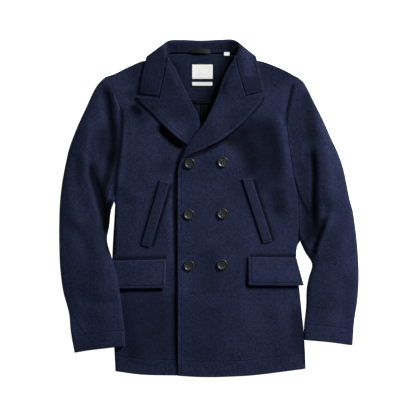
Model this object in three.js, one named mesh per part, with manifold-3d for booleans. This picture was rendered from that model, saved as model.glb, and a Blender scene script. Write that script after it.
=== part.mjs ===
// A pea coat laid flat on its back with its front buttoned, in millimetres.
// X runs across the coat, Y up it to the collar, and Z up from the surface that it lies on.
// Right and left are the wearer's, so the right side lies at negative X.

import * as THREE from 'three';
import { mergeVertices } from 'three/addons/utils/BufferGeometryUtils.js';
import Module from 'manifold-3d';

const { smoothstep, lerp, clamp } = THREE.MathUtils;

// Cloth and clearances
const CLOTH = 3; // one layer of heavy felted wool
const LAPEL_CLOTH = 3.6; // front and facing together, in the lapels
const COLLAR_CLOTH = 3.6; // top collar and under collar together
const FLAP_CLOTH = 3.4; // flaps and welts, faced
const FACING_CLOTH = 2;
const TAPE = 1.1; // bindings, labels and the hanger loop
const PLY = 0.45; // between two layers that lie on each other
const SEAM = 0.5; // between two edges that are sewn together
const TURNED = 0.8; // under the turned-back lapels and collar, which lie looser

// Heights that the laid coat is shaped from
const SHOULDER_Y = 324; // where both armholes meet the shoulder seams
const NECK_Y = 376; // where the fronts end under the collar
const BACK_SEAM_X = -22;
const NECK_X = -18; // the middle of the collar
const BODY_FULLNESS = 3;
const SLEEVE_FULLNESS = 8;
const CUFF_FULLNESS = 2.5;
const ROW = 24; // spacing of the sections up the coat, halved where layers cross
const FINE_Y = 132; // the sections lie closer above this height

// Outlines as sections: the height up the coat, then the place across it
const RIGHT_SIDE = [[-396, -229], [-339, -232], [-271, -237], [-186, -238], [-100, -236], [-12, -231],
  [61, -227], [100, -223], [139, -217], [180, -212], [224, -212], [256, -220], [290, -233], [324, -245]];
const LEFT_SIDE = [[-390, 234], [-332, 231.5], [-232, 223], [-154, 216], [-122, 213], [-98, 214], [-75, 219],
  [-20, 218], [29, 216], [75, 207], [119, 200], [167, 193], [212, 189], [241, 190], [278, 195], [324, 207.5]];
const OVER_EDGE = [[-406, -80], [84, -80], [105, -77], [127, -65], [150, -54], [182, -32], [205, -13],
  [234, 3], [276, 21], [309, 32], [341, 48], [362, 62], [376, 70]];
const UNDER_EDGE = [[-407, 65], [70, 65], [90, 60], [118, 38], [143, 13], [172, -8], [201, -22],
  [232, -30], [269, -50], [309, -69], [346, -86], [362, -98], [376, -105]];
const RIGHT_SLEEVE_OUTER = [[-351, -327], [-299, -335], [-254, -339], [-201, -353], [-149, -360],
  [-112, -362], [-51, -363], [14, -361], [67, -355], [117, -346], [150, -338], [200, -320], [248, -298],
  [287, -281], [305, -270], [321, -255]];
const RIGHT_SLEEVE_INNER = [[-333, -203], [-266, -211], [-195, -221], [-153, -229], [-117, -241], [-76, -248],
  [-42, -243], [-5, -239], [23, -230]];
const LEFT_SLEEVE_OUTER = [[-333, 349], [-274, 353], [-224, 360], [-162, 363], [-86, 359], [-8, 349],
  [22, 341], [95, 326], [134, 313], [172, 296], [213, 278], [267, 252], [309, 231], [323, 214]];
const LEFT_SLEEVE_INNER = [[-320, 235.5], [-295, 234], [-238, 234], [-195, 238], [-168, 243], [-135, 251],
  [-105, 234], [-75, 220]];

// Outlines between two corners
const RIGHT_HEM = [[-164, -404], [-81, -406], [0, -407]];
const LEFT_HEM = [[-27, -409], [28, -409], [110, -405], [179, -397]];
const RIGHT_SHOULDER = [[-233, 328], [-200, 344], [-165, 358.5], [-148, 361], [-126, 367.5]];
const LEFT_SHOULDER = [[88, 367.5], [109, 361.5], [128, 359], [165, 346], [197, 331]];
const RIGHT_BACK_TOP = [[-233, 328], [-200, 344], [-148, 361], [-122, 368], [-98, 375.5], [-60, 377.5]];
const LEFT_BACK_TOP = [[30, 376], [60, 374.5], [86, 368.5], [109, 361.5], [165, 346], [197, 331]];
const RIGHT_CUFF = [[-288, -344], [-243, -338]];
const LEFT_CUFF = [[292, -325]];

// Soft folds: a line across the cloth, its half width, and its height (a trough is negative)
const RIGHT_FRONT_FOLDS = [
  { from: [-190, 300], to: [-150, 120], width: 24, height: 1.6 },
  { from: [-232, 60], to: [-150, 20], width: 16, height: 1.4 },
  { from: [-200, -230], to: [-150, -390], width: 26, height: 1.6 },
];
const LEFT_FRONT_FOLDS = [
  { from: [140, 200], to: [152, 60], width: 26, height: -2.4 },
  { from: [172, 300], to: [176, 60], width: 18, height: 2.2 },
  { from: [206, 10], to: [150, 20], width: 15, height: 1.6 },
  { from: [176, -225], to: [188, -390], width: 22, height: 2 },
  { from: [-30, -180], to: [-18, -400], width: 26, height: 1.4 },
];
const RIGHT_SLEEVE_FOLDS = [
  { from: [-255, 302], to: [-240, 190], width: 15, height: -4.5 },
  { from: [-240, 190], to: [-236, 110], width: 14, height: -4 },
  { from: [-300, 120], to: [-262, -20], width: 15, height: 5 },
  { from: [-262, -20], to: [-250, -80], width: 12, height: 3 },
  { from: [-252, 60], to: [-250, 0], width: 11, height: -4 },
  { from: [-345, 40], to: [-300, -60], width: 20, height: 3 },
  { from: [-320, -120], to: [-280, -300], width: 22, height: 3 },
];
const LEFT_SLEEVE_FOLDS = [
  { from: [236, 240], to: [254, 150], width: 16, height: -5 },
  { from: [254, 150], to: [262, -30], width: 17, height: -6 },
  { from: [222, 250], to: [226, 60], width: 12, height: 3.5 },
  { from: [290, 150], to: [300, -20], width: 20, height: 4.5 },
  { from: [283, -22], to: [262, -120], width: 14, height: 4 },
  { from: [330, -60], to: [300, -200], width: 20, height: 3 },
  { from: [262, -170], to: [270, -300], width: 20, height: 2.5 },
];

// The collar, a section for each row: neck seam, roll line and fall edge, each x and y.
// wrap is 0 where the fall lies on the coat and 1 where it lies under the back.
const COLLAR = [
  { seam: [-122, 274.5], roll: [-126, 275], edge: [-170, 281], wrap: 0 },
  { seam: [-115.2, 304], roll: [-119, 304], edge: [-165.5, 309], wrap: 0 },
  { seam: [-108.1, 335], roll: [-112, 335], edge: [-161, 334], wrap: 0 },
  { seam: [-103, 357], roll: [-106, 360], edge: [-156, 352], wrap: 0 },
  { seam: [-100, 369], roll: [-104, 382], edge: [-154, 362], wrap: 0 },
  { seam: [-85, 381], roll: [-98, 398], edge: [-151, 370], wrap: 0.5 },
  { seam: [-70, 381], roll: [-85, 406], edge: [-143, 362], wrap: 1 },
  { seam: [-52, 380.5], roll: [-58, 407.3], edge: [-98, 338], wrap: 1 },
  { seam: [-18, 379.5], roll: [-18, 406], edge: [-18, 326], wrap: 1 },
  { seam: [20, 380], roll: [26, 407.3], edge: [64, 338], wrap: 1 },
  { seam: [38, 380.5], roll: [54, 406], edge: [107, 362], wrap: 1 },
  { seam: [52, 380.5], roll: [66, 397], edge: [114, 369], wrap: 0.5 },
  { seam: [63.5, 369], roll: [69, 381], edge: [117, 361], wrap: 0 },
  { seam: [65.2, 357], roll: [68.5, 360], edge: [119.5, 352], wrap: 0 },
  { seam: [73, 331], roll: [77, 331], edge: [122.5, 335], wrap: 0 },
  { seam: [81.1, 304], roll: [85, 304], edge: [127, 311], wrap: 0 },
  { seam: [89.5, 276], roll: [93.5, 277], edge: [130.8, 286.5], wrap: 0 },
];
const COLLAR_ROWS = 38; // sections along the finished strip
const ROLL_RADIUS = 3.6; // of the fold at the roll line
const STAND_LOW = 6.8; // height of the stand's middle at the neck seam
const COLLAR_HALF_WIDTH = 132; // how far each way the fall reaches under the back

// Lapels, a section for each row: the height of the roll line, then the outer edge's x and y.
// They run from the break up the lower edge to the tip, in to the notch and up the gorge seam.
const RIGHT_LAPEL = [[148, 0, 147], [158, -28, 149], [169, -53, 156], [180, -71, 168], [192, -94, 188],
  [203, -112, 205], [213, -137, 232], [223, -159, 252], [232, -177, 271.5], [258, -121.2, 268],
  [284, -116, 292], [308, -110.9, 316], [333, -105.7, 340], [356, -102.5, 355]];
const LEFT_LAPEL = [[116, -66, 119], [130, -47, 131], [145, -20, 142], [160, 1, 153], [174, 22, 163],
  [187, 41, 177], [198, 60, 191], [206, 85, 214], [214, 105, 235], [222, 123, 256], [230, 133.5, 279],
  [258, 89.3, 271.3], [284, 82, 296], [307, 76.2, 316], [331, 70, 337], [356, 64.6, 355.5]];
const LAPEL_OVERHANG = 2; // the roll stands past the front's own edge
const CROSSING = { from: [-30, 178], to: [-22, 158], reach: 38, fade: 66 }; // the under lapel's hidden end

// Pockets, by their four corners from the lower inner one, round
const FLAPS = {
  flap_right: { low: [[-236, -194], [-106, -192]], high: [[-235, -127], [-105, -123]] },
  flap_left: { low: [[95.6, -185], [231, -187]], high: [[95, -117], [213, -119]] },
};
const WELTS = {
  welt_right: { low: [[-165.5, -88], [-142.5, -93.5]], high: [[-119.3, 70.5], [-95.8, 63.5]] },
  welt_left: { low: [[131.3, -84.5], [153.5, -79]], high: [[79.7, 73], [104, 73.7]] },
};
const FLAP_LIFT = 1.2; // the free edge stands off the coat

// Buttons: 25.4 mm across, four holes
const BUTTON = { radius: 12.7, height: 4.2, rim: 2.4, dish: 1.1, holeRadius: 1.2, holeSpacing: 4.6 };
const BUTTONS = {
  button_top_right: [-47, 110.5], button_top_left: [33, 114],
  button_middle_right: [-49, -13], button_middle_left: [32.7, -11],
  button_low_right: [-48.6, -137.4], button_low_left: [32, -135.2],
};

// Inside the neck
const FACING = { low: 263, side: 290, halfWidth: 96, top: 375.5, binding: 7 };
const SEAM_BINDING = { low: -372, inner: 10, width: 8 };
const LOOP = { from: [-46, 381], to: [7, 379], rise: 5, width: 8 };
const LABELS = {
  label_main: { x: [-42, 10], y: [316.5, 353] },
  label_strip: { x: [-42, 9.5], y: [299.5, 309.5] },
  label_tab: { x: [34, 49], y: [359, 371] },
};

const NAVY = { color: 0x1b2440, roughness: 0.95, metalness: 0 };
const HORN = { color: 0x1d1d20, roughness: 0.4, metalness: 0 };
const OLIVE_TAPE = { color: 0x1a1a16, roughness: 0.7, metalness: 0 };
const SATIN = { color: 0x3a3b42, roughness: 0.45, metalness: 0 };
const LABEL_WHITE = { color: 0xe6e6e4, roughness: 0.7, metalness: 0 };

const coat = new THREE.Group();

// A smooth value between the sections of an outline
function across(sections, y) {
  const last = sections.length - 1;
  let i = 0;
  while (i < last - 1 && y > sections[i + 1][0]) i += 1;
  const slope = (k) => {
    const a = sections[Math.max(k - 1, 0)];
    const b = sections[Math.min(k + 1, last)];
    return (b[1] - a[1]) / (b[0] - a[0]);
  };
  const [y0, x0] = sections[i];
  const [y1, x1] = sections[i + 1];
  const span = y1 - y0;
  const t = clamp((y - y0) / span, 0, 1);
  const rise = t * t * (3 - 2 * t);
  const start = t * (1 - t) * (1 - t) * span * slope(i);
  const end = t * t * (t - 1) * span * slope(i + 1);
  return lerp(x0, x1, rise) + start + end;
}

// A curve through the points, evenly by its length
function through(points) {
  const curve = new THREE.SplineCurve(points.map(([x, y]) => new THREE.Vector2(x, y)));
  return (t) => curve.getPointAt(clamp(t, 0, 1)).toArray();
}

// Distance from a point to the line between two others, and how far along it lies
function fromLine(x, y, [ax, ay], [bx, by]) {
  const length2 = (bx - ax) ** 2 + (by - ay) ** 2;
  const along = clamp(((x - ax) * (bx - ax) + (y - ay) * (by - ay)) / length2, 0, 1);
  return { along, off: Math.hypot(x - lerp(ax, bx, along), y - lerp(ay, by, along)) };
}

function foldHeight(folds, x, y) {
  return folds.reduce((sum, { from, to, width, height }) => {
    const { off } = fromLine(x, y, from, to);
    return sum + height * Math.exp(-((off / width) ** 2));
  }, 0);
}

// The larger of two heights with a soft change from one to the other
const softMax = (a, b) => (a + b + Math.sqrt((a - b) ** 2 + 1)) / 2;

// Evenly spaced numbers from 0 to 1
const spread = (count) => Array.from({ length: count + 1 }, (_, i) => i / count);

// Section heights up to the shoulder, at the same places on every piece that meets an armhole
function levels(bottom) {
  const list = [];
  let y = SHOULDER_Y;
  while (y > bottom + 8) {
    list.unshift(y);
    y -= y > FINE_Y ? ROW / 2 : ROW;
  }
  return [bottom, ...list];
}

// A grid of [x, y, u, v] between four edges: each point blends the edges that face it
function patch({ left, right, bottom, top }, us, vs) {
  return vs.map((v) => us.map((u) => {
    const l = left(v);
    const r = right(v);
    const b = bottom(u);
    const t = top(u);
    const point = [0, 1].map((k) => {
      const corners = (1 - u) * ((1 - v) * left(0)[k] + v * left(1)[k])
        + u * ((1 - v) * right(0)[k] + v * right(1)[k]);
      return (1 - u) * l[k] + u * r[k] + (1 - v) * b[k] + v * t[k] - corners;
    });
    return [...point, u, v];
  }));
}

// A closed wall between two grids of points that have the same rows and columns
function wall(lower, upper) {
  const rows = lower.length;
  const cols = lower[0].length;
  const positions = [...lower, ...upper].flat(2);
  const index = [];
  const id = (layer, r, c) => (layer * rows + r) * cols + c;
  const quad = (a, b, c, d) => index.push(a, b, c, a, c, d);
  for (let r = 0; r < rows - 1; r += 1) {
    for (let c = 0; c < cols - 1; c += 1) {
      quad(id(1, r, c), id(1, r, c + 1), id(1, r + 1, c + 1), id(1, r + 1, c));
      quad(id(0, r, c), id(0, r + 1, c), id(0, r + 1, c + 1), id(0, r, c + 1));
    }
  }
  for (let c = 0; c < cols - 1; c += 1) {
    quad(id(0, 0, c), id(0, 0, c + 1), id(1, 0, c + 1), id(1, 0, c));
    quad(id(1, rows - 1, c), id(1, rows - 1, c + 1), id(0, rows - 1, c + 1), id(0, rows - 1, c));
  }
  for (let r = 0; r < rows - 1; r += 1) {
    quad(id(1, r, 0), id(1, r + 1, 0), id(0, r + 1, 0), id(0, r, 0));
    quad(id(0, r, cols - 1), id(0, r + 1, cols - 1), id(1, r + 1, cols - 1), id(1, r, cols - 1));
  }
  const geometry = new THREE.BufferGeometry();
  geometry.setAttribute('position', new THREE.Float32BufferAttribute(positions, 3));
  geometry.setIndex(index);
  return geometry;
}

function add(name, geometry, finish) {
  const mesh = new THREE.Mesh(geometry, new THREE.MeshStandardMaterial(finish));
  mesh.name = name;
  coat.add(mesh);
  return mesh;
}

// A sheet of cloth over a patch: its underside is a height at each point
function sheet(name, grid, underside, thickness, finish) {
  const lower = grid.map((row) => row.map(([x, y, u, v]) => [x, y, underside(x, y, u, v)]));
  const upper = lower.map((row) => row.map(([x, y, z]) => [x, y, z + thickness]));
  return add(name, wall(lower, upper), finish);
}

const rightSide = (y) => across(RIGHT_SIDE, y);
const leftSide = (y) => across(LEFT_SIDE, y);

// How much of the height of a thing under the back reaches the layers above
const neckRaise = (x, y) => smoothstep(y, 268, 326)
  * (1 - smoothstep(Math.abs(x - NECK_X), COLLAR_HALF_WIDTH, COLLAR_HALF_WIDTH + 68));

// The back lies on the surface, and over the hidden fall of the collar
const backUnder = (x, y) => (COLLAR_CLOTH + PLY + 0.3) * neckRaise(x, y);
const backTop = (x, y) => backUnder(x, y) + CLOTH;

// The fronts rise over the neck facing
const facingRaise = (x, y) => (FACING_CLOTH + PLY + 0.1) * smoothstep(y, 206, 256)
  * (1 - smoothstep(Math.abs(x - NECK_X), FACING.halfWidth + 2, FACING.halfWidth + 72));

// The room that a laid body keeps inside, none at its side seams
function fullness(x, y) {
  const side = Math.min(x - rightSide(y), leftSide(y) - x);
  const ends = smoothstep(y, -400, -330) * (1 - smoothstep(y, 250, 330));
  return BODY_FULLNESS * smoothstep(side, 0, 60) * lerp(0.5, 1, ends);
}

const atSides = (x, y) => smoothstep(Math.min(x - rightSide(y), leftSide(y) - x), 0, 40);

function rightFrontUnder(x, y) {
  const folds = foldHeight(RIGHT_FRONT_FOLDS, x, y) * atSides(x, y);
  return backTop(x, y) + PLY + facingRaise(x, y) + softMax(fullness(x, y) + folds, 0) - 0.5;
}
const rightFrontTop = (x, y) => rightFrontUnder(x, y) + CLOTH;

// The left front lies on the right one, over its lapel, and steps down past its edge
function leftFrontUnder(x, y) {
  const lap = 1 - smoothstep(x - across(UNDER_EDGE, y), 8, 92);
  const { off } = fromLine(x, y, CROSSING.from, CROSSING.to);
  const crossing = 1 - smoothstep(off, CROSSING.reach, CROSSING.reach + CROSSING.fade);
  const folds = foldHeight(LEFT_FRONT_FOLDS, x, y) * atSides(x, y);
  const alone = backTop(x, y) + PLY + facingRaise(x, y) + softMax(fullness(x, y) + folds, 0) - 0.5;
  const lapel = crossing * (LAPEL_CLOTH + TURNED + 0.2);
  const lapped = rightFrontTop(x, y) + PLY + lapel + foldHeight(LEFT_FRONT_FOLDS, x, y);
  return lap > 0 ? lerp(alone, Math.max(lapped, alone), lap) : alone;
}
const leftFrontTop = (x, y) => leftFrontUnder(x, y) + CLOTH;

// Backs
function makeBacks() {
  const seam = (x, low, high) => (v) => [x, lerp(low, high, v)];
  const rightRows = levels(RIGHT_SIDE[0][0] + 4);
  const rightVs = rightRows.map((y) => (y - rightRows[0]) / (SHOULDER_Y - rightRows[0]));
  const us = spread(5);
  const right = patch({
    left: (v) => [rightSide(lerp(rightRows[0], SHOULDER_Y, v)), lerp(rightRows[0], SHOULDER_Y, v)],
    right: seam(BACK_SEAM_X - SEAM / 2, -403, 378),
    bottom: through([[rightSide(rightRows[0]), rightRows[0]], [-164, -400], [BACK_SEAM_X - SEAM / 2, -403]]),
    top: through([[rightSide(SHOULDER_Y), SHOULDER_Y], ...RIGHT_BACK_TOP, [BACK_SEAM_X - SEAM / 2, 378]]),
  }, us, rightVs);
  sheet('back_right', right, backUnder, CLOTH, NAVY);
  const leftRows = levels(LEFT_SIDE[0][0] + 4);
  const leftVs = leftRows.map((y) => (y - leftRows[0]) / (SHOULDER_Y - leftRows[0]));
  const left = patch({
    left: seam(BACK_SEAM_X + SEAM / 2, -403, 377),
    right: (v) => [leftSide(lerp(leftRows[0], SHOULDER_Y, v)), lerp(leftRows[0], SHOULDER_Y, v)],
    bottom: through([[BACK_SEAM_X + SEAM / 2, -403], [110, -401], [leftSide(leftRows[0]), leftRows[0]]]),
    top: through([[BACK_SEAM_X + SEAM / 2, 377], ...LEFT_BACK_TOP, [leftSide(SHOULDER_Y), SHOULDER_Y]]),
  }, us, leftVs);
  sheet('back_left', left, backUnder, CLOTH, NAVY);
}

// Fronts
function makeFronts() {
  const rightRows = levels(RIGHT_SIDE[0][0]);
  const rightVs = rightRows.map((y) => (y - rightRows[0]) / (SHOULDER_Y - rightRows[0]));
  const underLow = UNDER_EDGE[0][0];
  const rightGrid = patch({
    left: (v) => [rightSide(lerp(rightRows[0], SHOULDER_Y, v)), lerp(rightRows[0], SHOULDER_Y, v)],
    right: (v) => [across(UNDER_EDGE, lerp(underLow, NECK_Y, v)), lerp(underLow, NECK_Y, v)],
    bottom: through([[rightSide(rightRows[0]), rightRows[0]], ...RIGHT_HEM, [UNDER_EDGE[0][1], underLow]]),
    top: through([
      [rightSide(SHOULDER_Y), SHOULDER_Y], ...RIGHT_SHOULDER, [across(UNDER_EDGE, NECK_Y), NECK_Y],
    ]),
  }, spread(9), rightVs);
  sheet('front_right', rightGrid, rightFrontUnder, CLOTH, NAVY);
  const leftRows = levels(LEFT_SIDE[0][0]);
  const leftVs = leftRows.map((y) => (y - leftRows[0]) / (SHOULDER_Y - leftRows[0]));
  const overLow = OVER_EDGE[0][0];
  const leftGrid = patch({
    left: (v) => [across(OVER_EDGE, lerp(overLow, NECK_Y, v)), lerp(overLow, NECK_Y, v)],
    right: (v) => [leftSide(lerp(leftRows[0], SHOULDER_Y, v)), lerp(leftRows[0], SHOULDER_Y, v)],
    bottom: through([[OVER_EDGE[0][1], overLow], ...LEFT_HEM, [leftSide(leftRows[0]), leftRows[0]]]),
    top: through([
      [across(OVER_EDGE, NECK_Y), NECK_Y], ...LEFT_SHOULDER, [leftSide(SHOULDER_Y), SHOULDER_Y],
    ]),
  }, [0, 0.05, 0.1, 0.15, 0.21, 0.28, 0.37, 0.47, 0.58, 0.69, 0.8, 0.9, 1], leftVs);
  sheet('front_left', leftGrid, leftFrontUnder, CLOTH, NAVY);
}

// A lapel lies on its front, each section straight from the roll line to the outer edge
function makeLapel(name, sections, edge, overhang, frontTop) {
  const grid = sections.map(([y, outX, outY], r) => {
    const rollX = across(edge, y) + overhang;
    const row = spread(8).map((u) => [lerp(rollX, outX, u), lerp(y, outY, u), u, r]);
    return outX > rollX ? row : row.reverse();
  });
  sheet(name, grid, (x, y) => frontTop(x, y) + TURNED, LAPEL_CLOTH, NAVY);
}

// The collar is one strip round the neck: up the stand, over the roll and down the fall
function makeCollar() {
  const half = COLLAR_CLOTH / 2;
  const onCoat = (x, y) => {
    const top = x < NECK_X ? rightFrontTop(x, y) : leftFrontTop(x, y);
    return top + TURNED + half;
  };
  const section = ({ seam, roll, edge, wrap }) => {
    const toward = (to, distance) => {
      const length = Math.hypot(to[0] - roll[0], to[1] - roll[1]);
      const part = Math.min(distance / length, 0.45);
      return [lerp(roll[0], to[0], part), lerp(roll[1], to[1], part)];
    };
    const down = (part) => [lerp(roll[0], edge[0], part), lerp(roll[1], edge[1], part)];
    const points = [
      { at: seam, stand: 1 },
      { at: [(seam[0] + roll[0]) / 2, (seam[1] + roll[1]) / 2], stand: 1 },
      { at: toward(seam, ROLL_RADIUS), stand: 1 },
      { at: roll, stand: 0.5 },
      { at: toward(edge, ROLL_RADIUS), stand: 0 },
      { at: down(0.35), stand: 0 },
      { at: down(0.7), stand: 0 },
      { at: edge, stand: 0 },
    ];
    return points.map(({ at: [x, y], stand }) => {
      const rise = 2 * ROLL_RADIUS - STAND_LOW + half;
      const inside = STAND_LOW + rise * smoothstep(y, 380, 402);
      const outside = lerp(onCoat(x, y), half, smoothstep(wrap, 0.05, 0.95));
      const turned = smoothstep(wrap, 0, 0.3);
      return new THREE.Vector3(x, y, lerp(outside, inside, stand * turned));
    });
  };
  const sections = COLLAR.map(section);
  const strands = sections[0].map((_, k) => new THREE.CatmullRomCurve3(
    sections.map((points) => points[k]), false, 'centripetal'));
  const rows = spread(COLLAR_ROWS).map((s) => strands.map((strand) => strand.getPoint(s)));
  const strip = rows.map((row) => {
    const curve = new THREE.CatmullRomCurve3(row, false, 'centripetal');
    return spread(14).map((t) => {
      const point = curve.getPoint(t);
      point.z = Math.max(point.z, half);
      return point;
    });
  });
  add('collar', foldedWall(strip, COLLAR_CLOTH), NAVY);
}

// A wall on both sides of a strip of points, its thickness square to the cloth
function foldedWall(strip, thickness) {
  const rows = strip.length;
  const cols = strip[0].length;
  const side = (sign) => strip.map((row, r) => row.map((point, c) => {
    const across = new THREE.Vector3().subVectors(row[Math.min(c + 1, cols - 1)], row[Math.max(c - 1, 0)]);
    const along = new THREE.Vector3().subVectors(
      strip[Math.min(r + 1, rows - 1)][c], strip[Math.max(r - 1, 0)][c]);
    const normal = across.cross(along).normalize();
    return point.clone().addScaledVector(normal, sign * thickness / 2).toArray();
  }));
  return wall(side(-1), side(1));
}

// A small piece between two edges, each from left to right, laid on what is under it
function laid(name, [lowLeft, lowRight], [highLeft, highRight], counts, under, thickness, finish) {
  const grid = patch({
    left: through([lowLeft, highLeft]),
    right: through([lowRight, highRight]),
    bottom: through([lowLeft, lowRight]),
    top: through([highLeft, highRight]),
  }, spread(counts[0]), spread(counts[1]));
  return sheet(name, grid, under, thickness, finish);
}

function makePockets() {
  Object.entries(FLAPS).forEach(([name, { low, high }]) => {
    const top = name === 'flap_right' ? rightFrontTop : leftFrontTop;
    const under = (x, y, u, v) => top(x, y) + PLY + FLAP_LIFT * (1 - smoothstep(v, 0, 0.7));
    laid(name, low, high, [8, 4], under, FLAP_CLOTH, NAVY);
  });
  Object.entries(WELTS).forEach(([name, { low, high }]) => {
    const top = name === 'welt_right' ? rightFrontTop : leftFrontTop;
    laid(name, low, high, [2, 9], (x, y) => top(x, y) + PLY, FLAP_CLOTH, NAVY);
  });
}

// Sleeves: an under panel on the surface and a top panel over it, fuller towards the shoulder
function makeSleeve(side, { outer, inner, armpit, body, cuff, rest, folds }) {
  const rightward = side === 'left';
  const innerLow = inner[0];
  const outerLow = outer[0];
  const outerHigh = outer[outer.length - 1];
  const gap = rightward ? SEAM : -SEAM;
  const innerAt = (y) => (y > armpit ? body(y) + gap : across(inner, y));
  const rows = levels(innerLow[0]);
  const vs = rows.map((y) => (y - rows[0]) / (SHOULDER_Y - rows[0]));
  const innerEdge = (v) => {
    const y = lerp(innerLow[0], SHOULDER_Y, v);
    return [innerAt(y), y];
  };
  const outerEdge = (v) => {
    const y = lerp(outerLow[0], outerHigh[0], v);
    return [across(outer, y), y];
  };
  const edges = {
    left: rightward ? innerEdge : outerEdge,
    right: rightward ? outerEdge : innerEdge,
    bottom: through(rightward
      ? [innerEdge(0), ...cuff, outerEdge(0)]
      : [outerEdge(0), ...cuff, innerEdge(0)]),
    top: through(rightward ? [innerEdge(1), outerEdge(1)] : [outerEdge(1), innerEdge(1)]),
  };
  const underGrid = patch(edges, rightward ? [0, 0.35, 1] : [0, 0.4, 0.52, 0.64, 0.78, 0.89, 1], vs);
  sheet(`sleeve_${side}_under`, underGrid, rest, CLOTH, NAVY);
  const topUnder = (x, y, u, v) => {
    const round = Math.sin(Math.PI * u) ** 0.7;
    const room = lerp(CUFF_FULLNESS, SLEEVE_FULLNESS, smoothstep(v, 0, 0.3));
    const free = (room + foldHeight(folds, x, y) * smoothstep(v, 0, 0.12)) * round;
    return rest(x, y) + CLOTH + PLY + softMax(free, 0) - 0.5;
  };
  const topGrid = patch(edges, rightward ? spread(8) : [0, 0.14, 0.28, 0.4, 0.52, 0.64, 0.78, 0.89, 1], vs);
  sheet(`sleeve_${side}_top`, topGrid, topUnder, CLOTH, NAVY);
}

function makeSleeves() {
  const overBody = (x, y) => {
    const flap = (FLAP_CLOTH + PLY + FLAP_LIFT) * smoothstep(y, -232, -204) * (1 - smoothstep(y, -112, -86));
    const side = rightSide(y);
    const height = rightFrontTop(Math.max(x, side), y) + 2 * PLY + flap;
    return height * smoothstep(x, side - 44, side - 14) * (1 - smoothstep(y, -90, 10));
  };
  makeSleeve('right', {
    outer: RIGHT_SLEEVE_OUTER, inner: RIGHT_SLEEVE_INNER, armpit: 22, body: rightSide,
    cuff: RIGHT_CUFF, rest: overBody, folds: RIGHT_SLEEVE_FOLDS,
  });
  makeSleeve('left', {
    outer: LEFT_SLEEVE_OUTER, inner: LEFT_SLEEVE_INNER, armpit: -76, body: leftSide,
    cuff: LEFT_CUFF, rest: () => 0, folds: LEFT_SLEEVE_FOLDS,
  });
}

// A button: a dished disc with a raised rim, turned about its own axis, with four holes cut through
async function buttonGeometry() {
  const { radius, height, rim, dish, holeRadius, holeSpacing } = BUTTON;
  const profile = [
    [0, 0], [radius * 0.72, 0], [radius, height * 0.42], [radius, height * 0.7],
    [radius - rim * 0.45, height], [radius - rim, height * 0.92],
    [radius - rim * 1.6, height - dish], [0, height - dish],
  ].map(([r, z]) => new THREE.Vector2(r, z));
  const disc = new THREE.LatheGeometry(profile, 15).rotateX(Math.PI / 2);
  const wasm = await Module();
  wasm.setup();
  const solid = (geometry) => {
    const bare = geometry.clone();
    bare.deleteAttribute('normal');
    bare.deleteAttribute('uv');
    const merged = mergeVertices(bare, 1e-4);
    return new wasm.Manifold(new wasm.Mesh({
      numProp: 3,
      vertProperties: new Float32Array(merged.attributes.position.array),
      triVerts: new Uint32Array(merged.index.array),
    }));
  };
  let button = solid(disc);
  [[-1, -1], [1, -1], [1, 1], [-1, 1]].forEach(([sx, sy]) => {
    const hole = new THREE.CylinderGeometry(holeRadius, holeRadius, 3 * height, 6).rotateX(Math.PI / 2);
    hole.translate(sx * holeSpacing / 2, sy * holeSpacing / 2, 0);
    button = button.subtract(solid(hole));
  });
  const { vertProperties, triVerts } = button.getMesh();
  const geometry = new THREE.BufferGeometry();
  geometry.setAttribute('position', new THREE.BufferAttribute(vertProperties, 3));
  geometry.setIndex(new THREE.BufferAttribute(triVerts, 1));
  return geometry;
}

// Each button sits flat on the left front, square to the cloth under it
async function makeButtons() {
  const geometry = await buttonGeometry();
  const reach = BUTTON.radius;
  Object.entries(BUTTONS).forEach(([name, [x, y]]) => {
    const slopeX = (leftFrontTop(x + reach, y) - leftFrontTop(x - reach, y)) / (2 * reach);
    const slopeY = (leftFrontTop(x, y + reach) - leftFrontTop(x, y - reach)) / (2 * reach);
    const normal = new THREE.Vector3(-slopeX, -slopeY, 1).normalize();
    const spots = spread(11).map((t) => [Math.cos(2 * Math.PI * t), Math.sin(2 * Math.PI * t)]);
    const bump = Math.max(0, ...spots.map(([cx, cy]) => leftFrontTop(x + reach * cx, y + reach * cy)
      - leftFrontTop(x, y) - reach * (slopeX * cx + slopeY * cy)));
    const button = add(name, geometry, HORN);
    button.quaternion.setFromUnitVectors(new THREE.Vector3(0, 0, 1), normal);
    button.position.set(x, y, leftFrontTop(x, y) + bump + 1.6 * PLY);
  });
}

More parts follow.
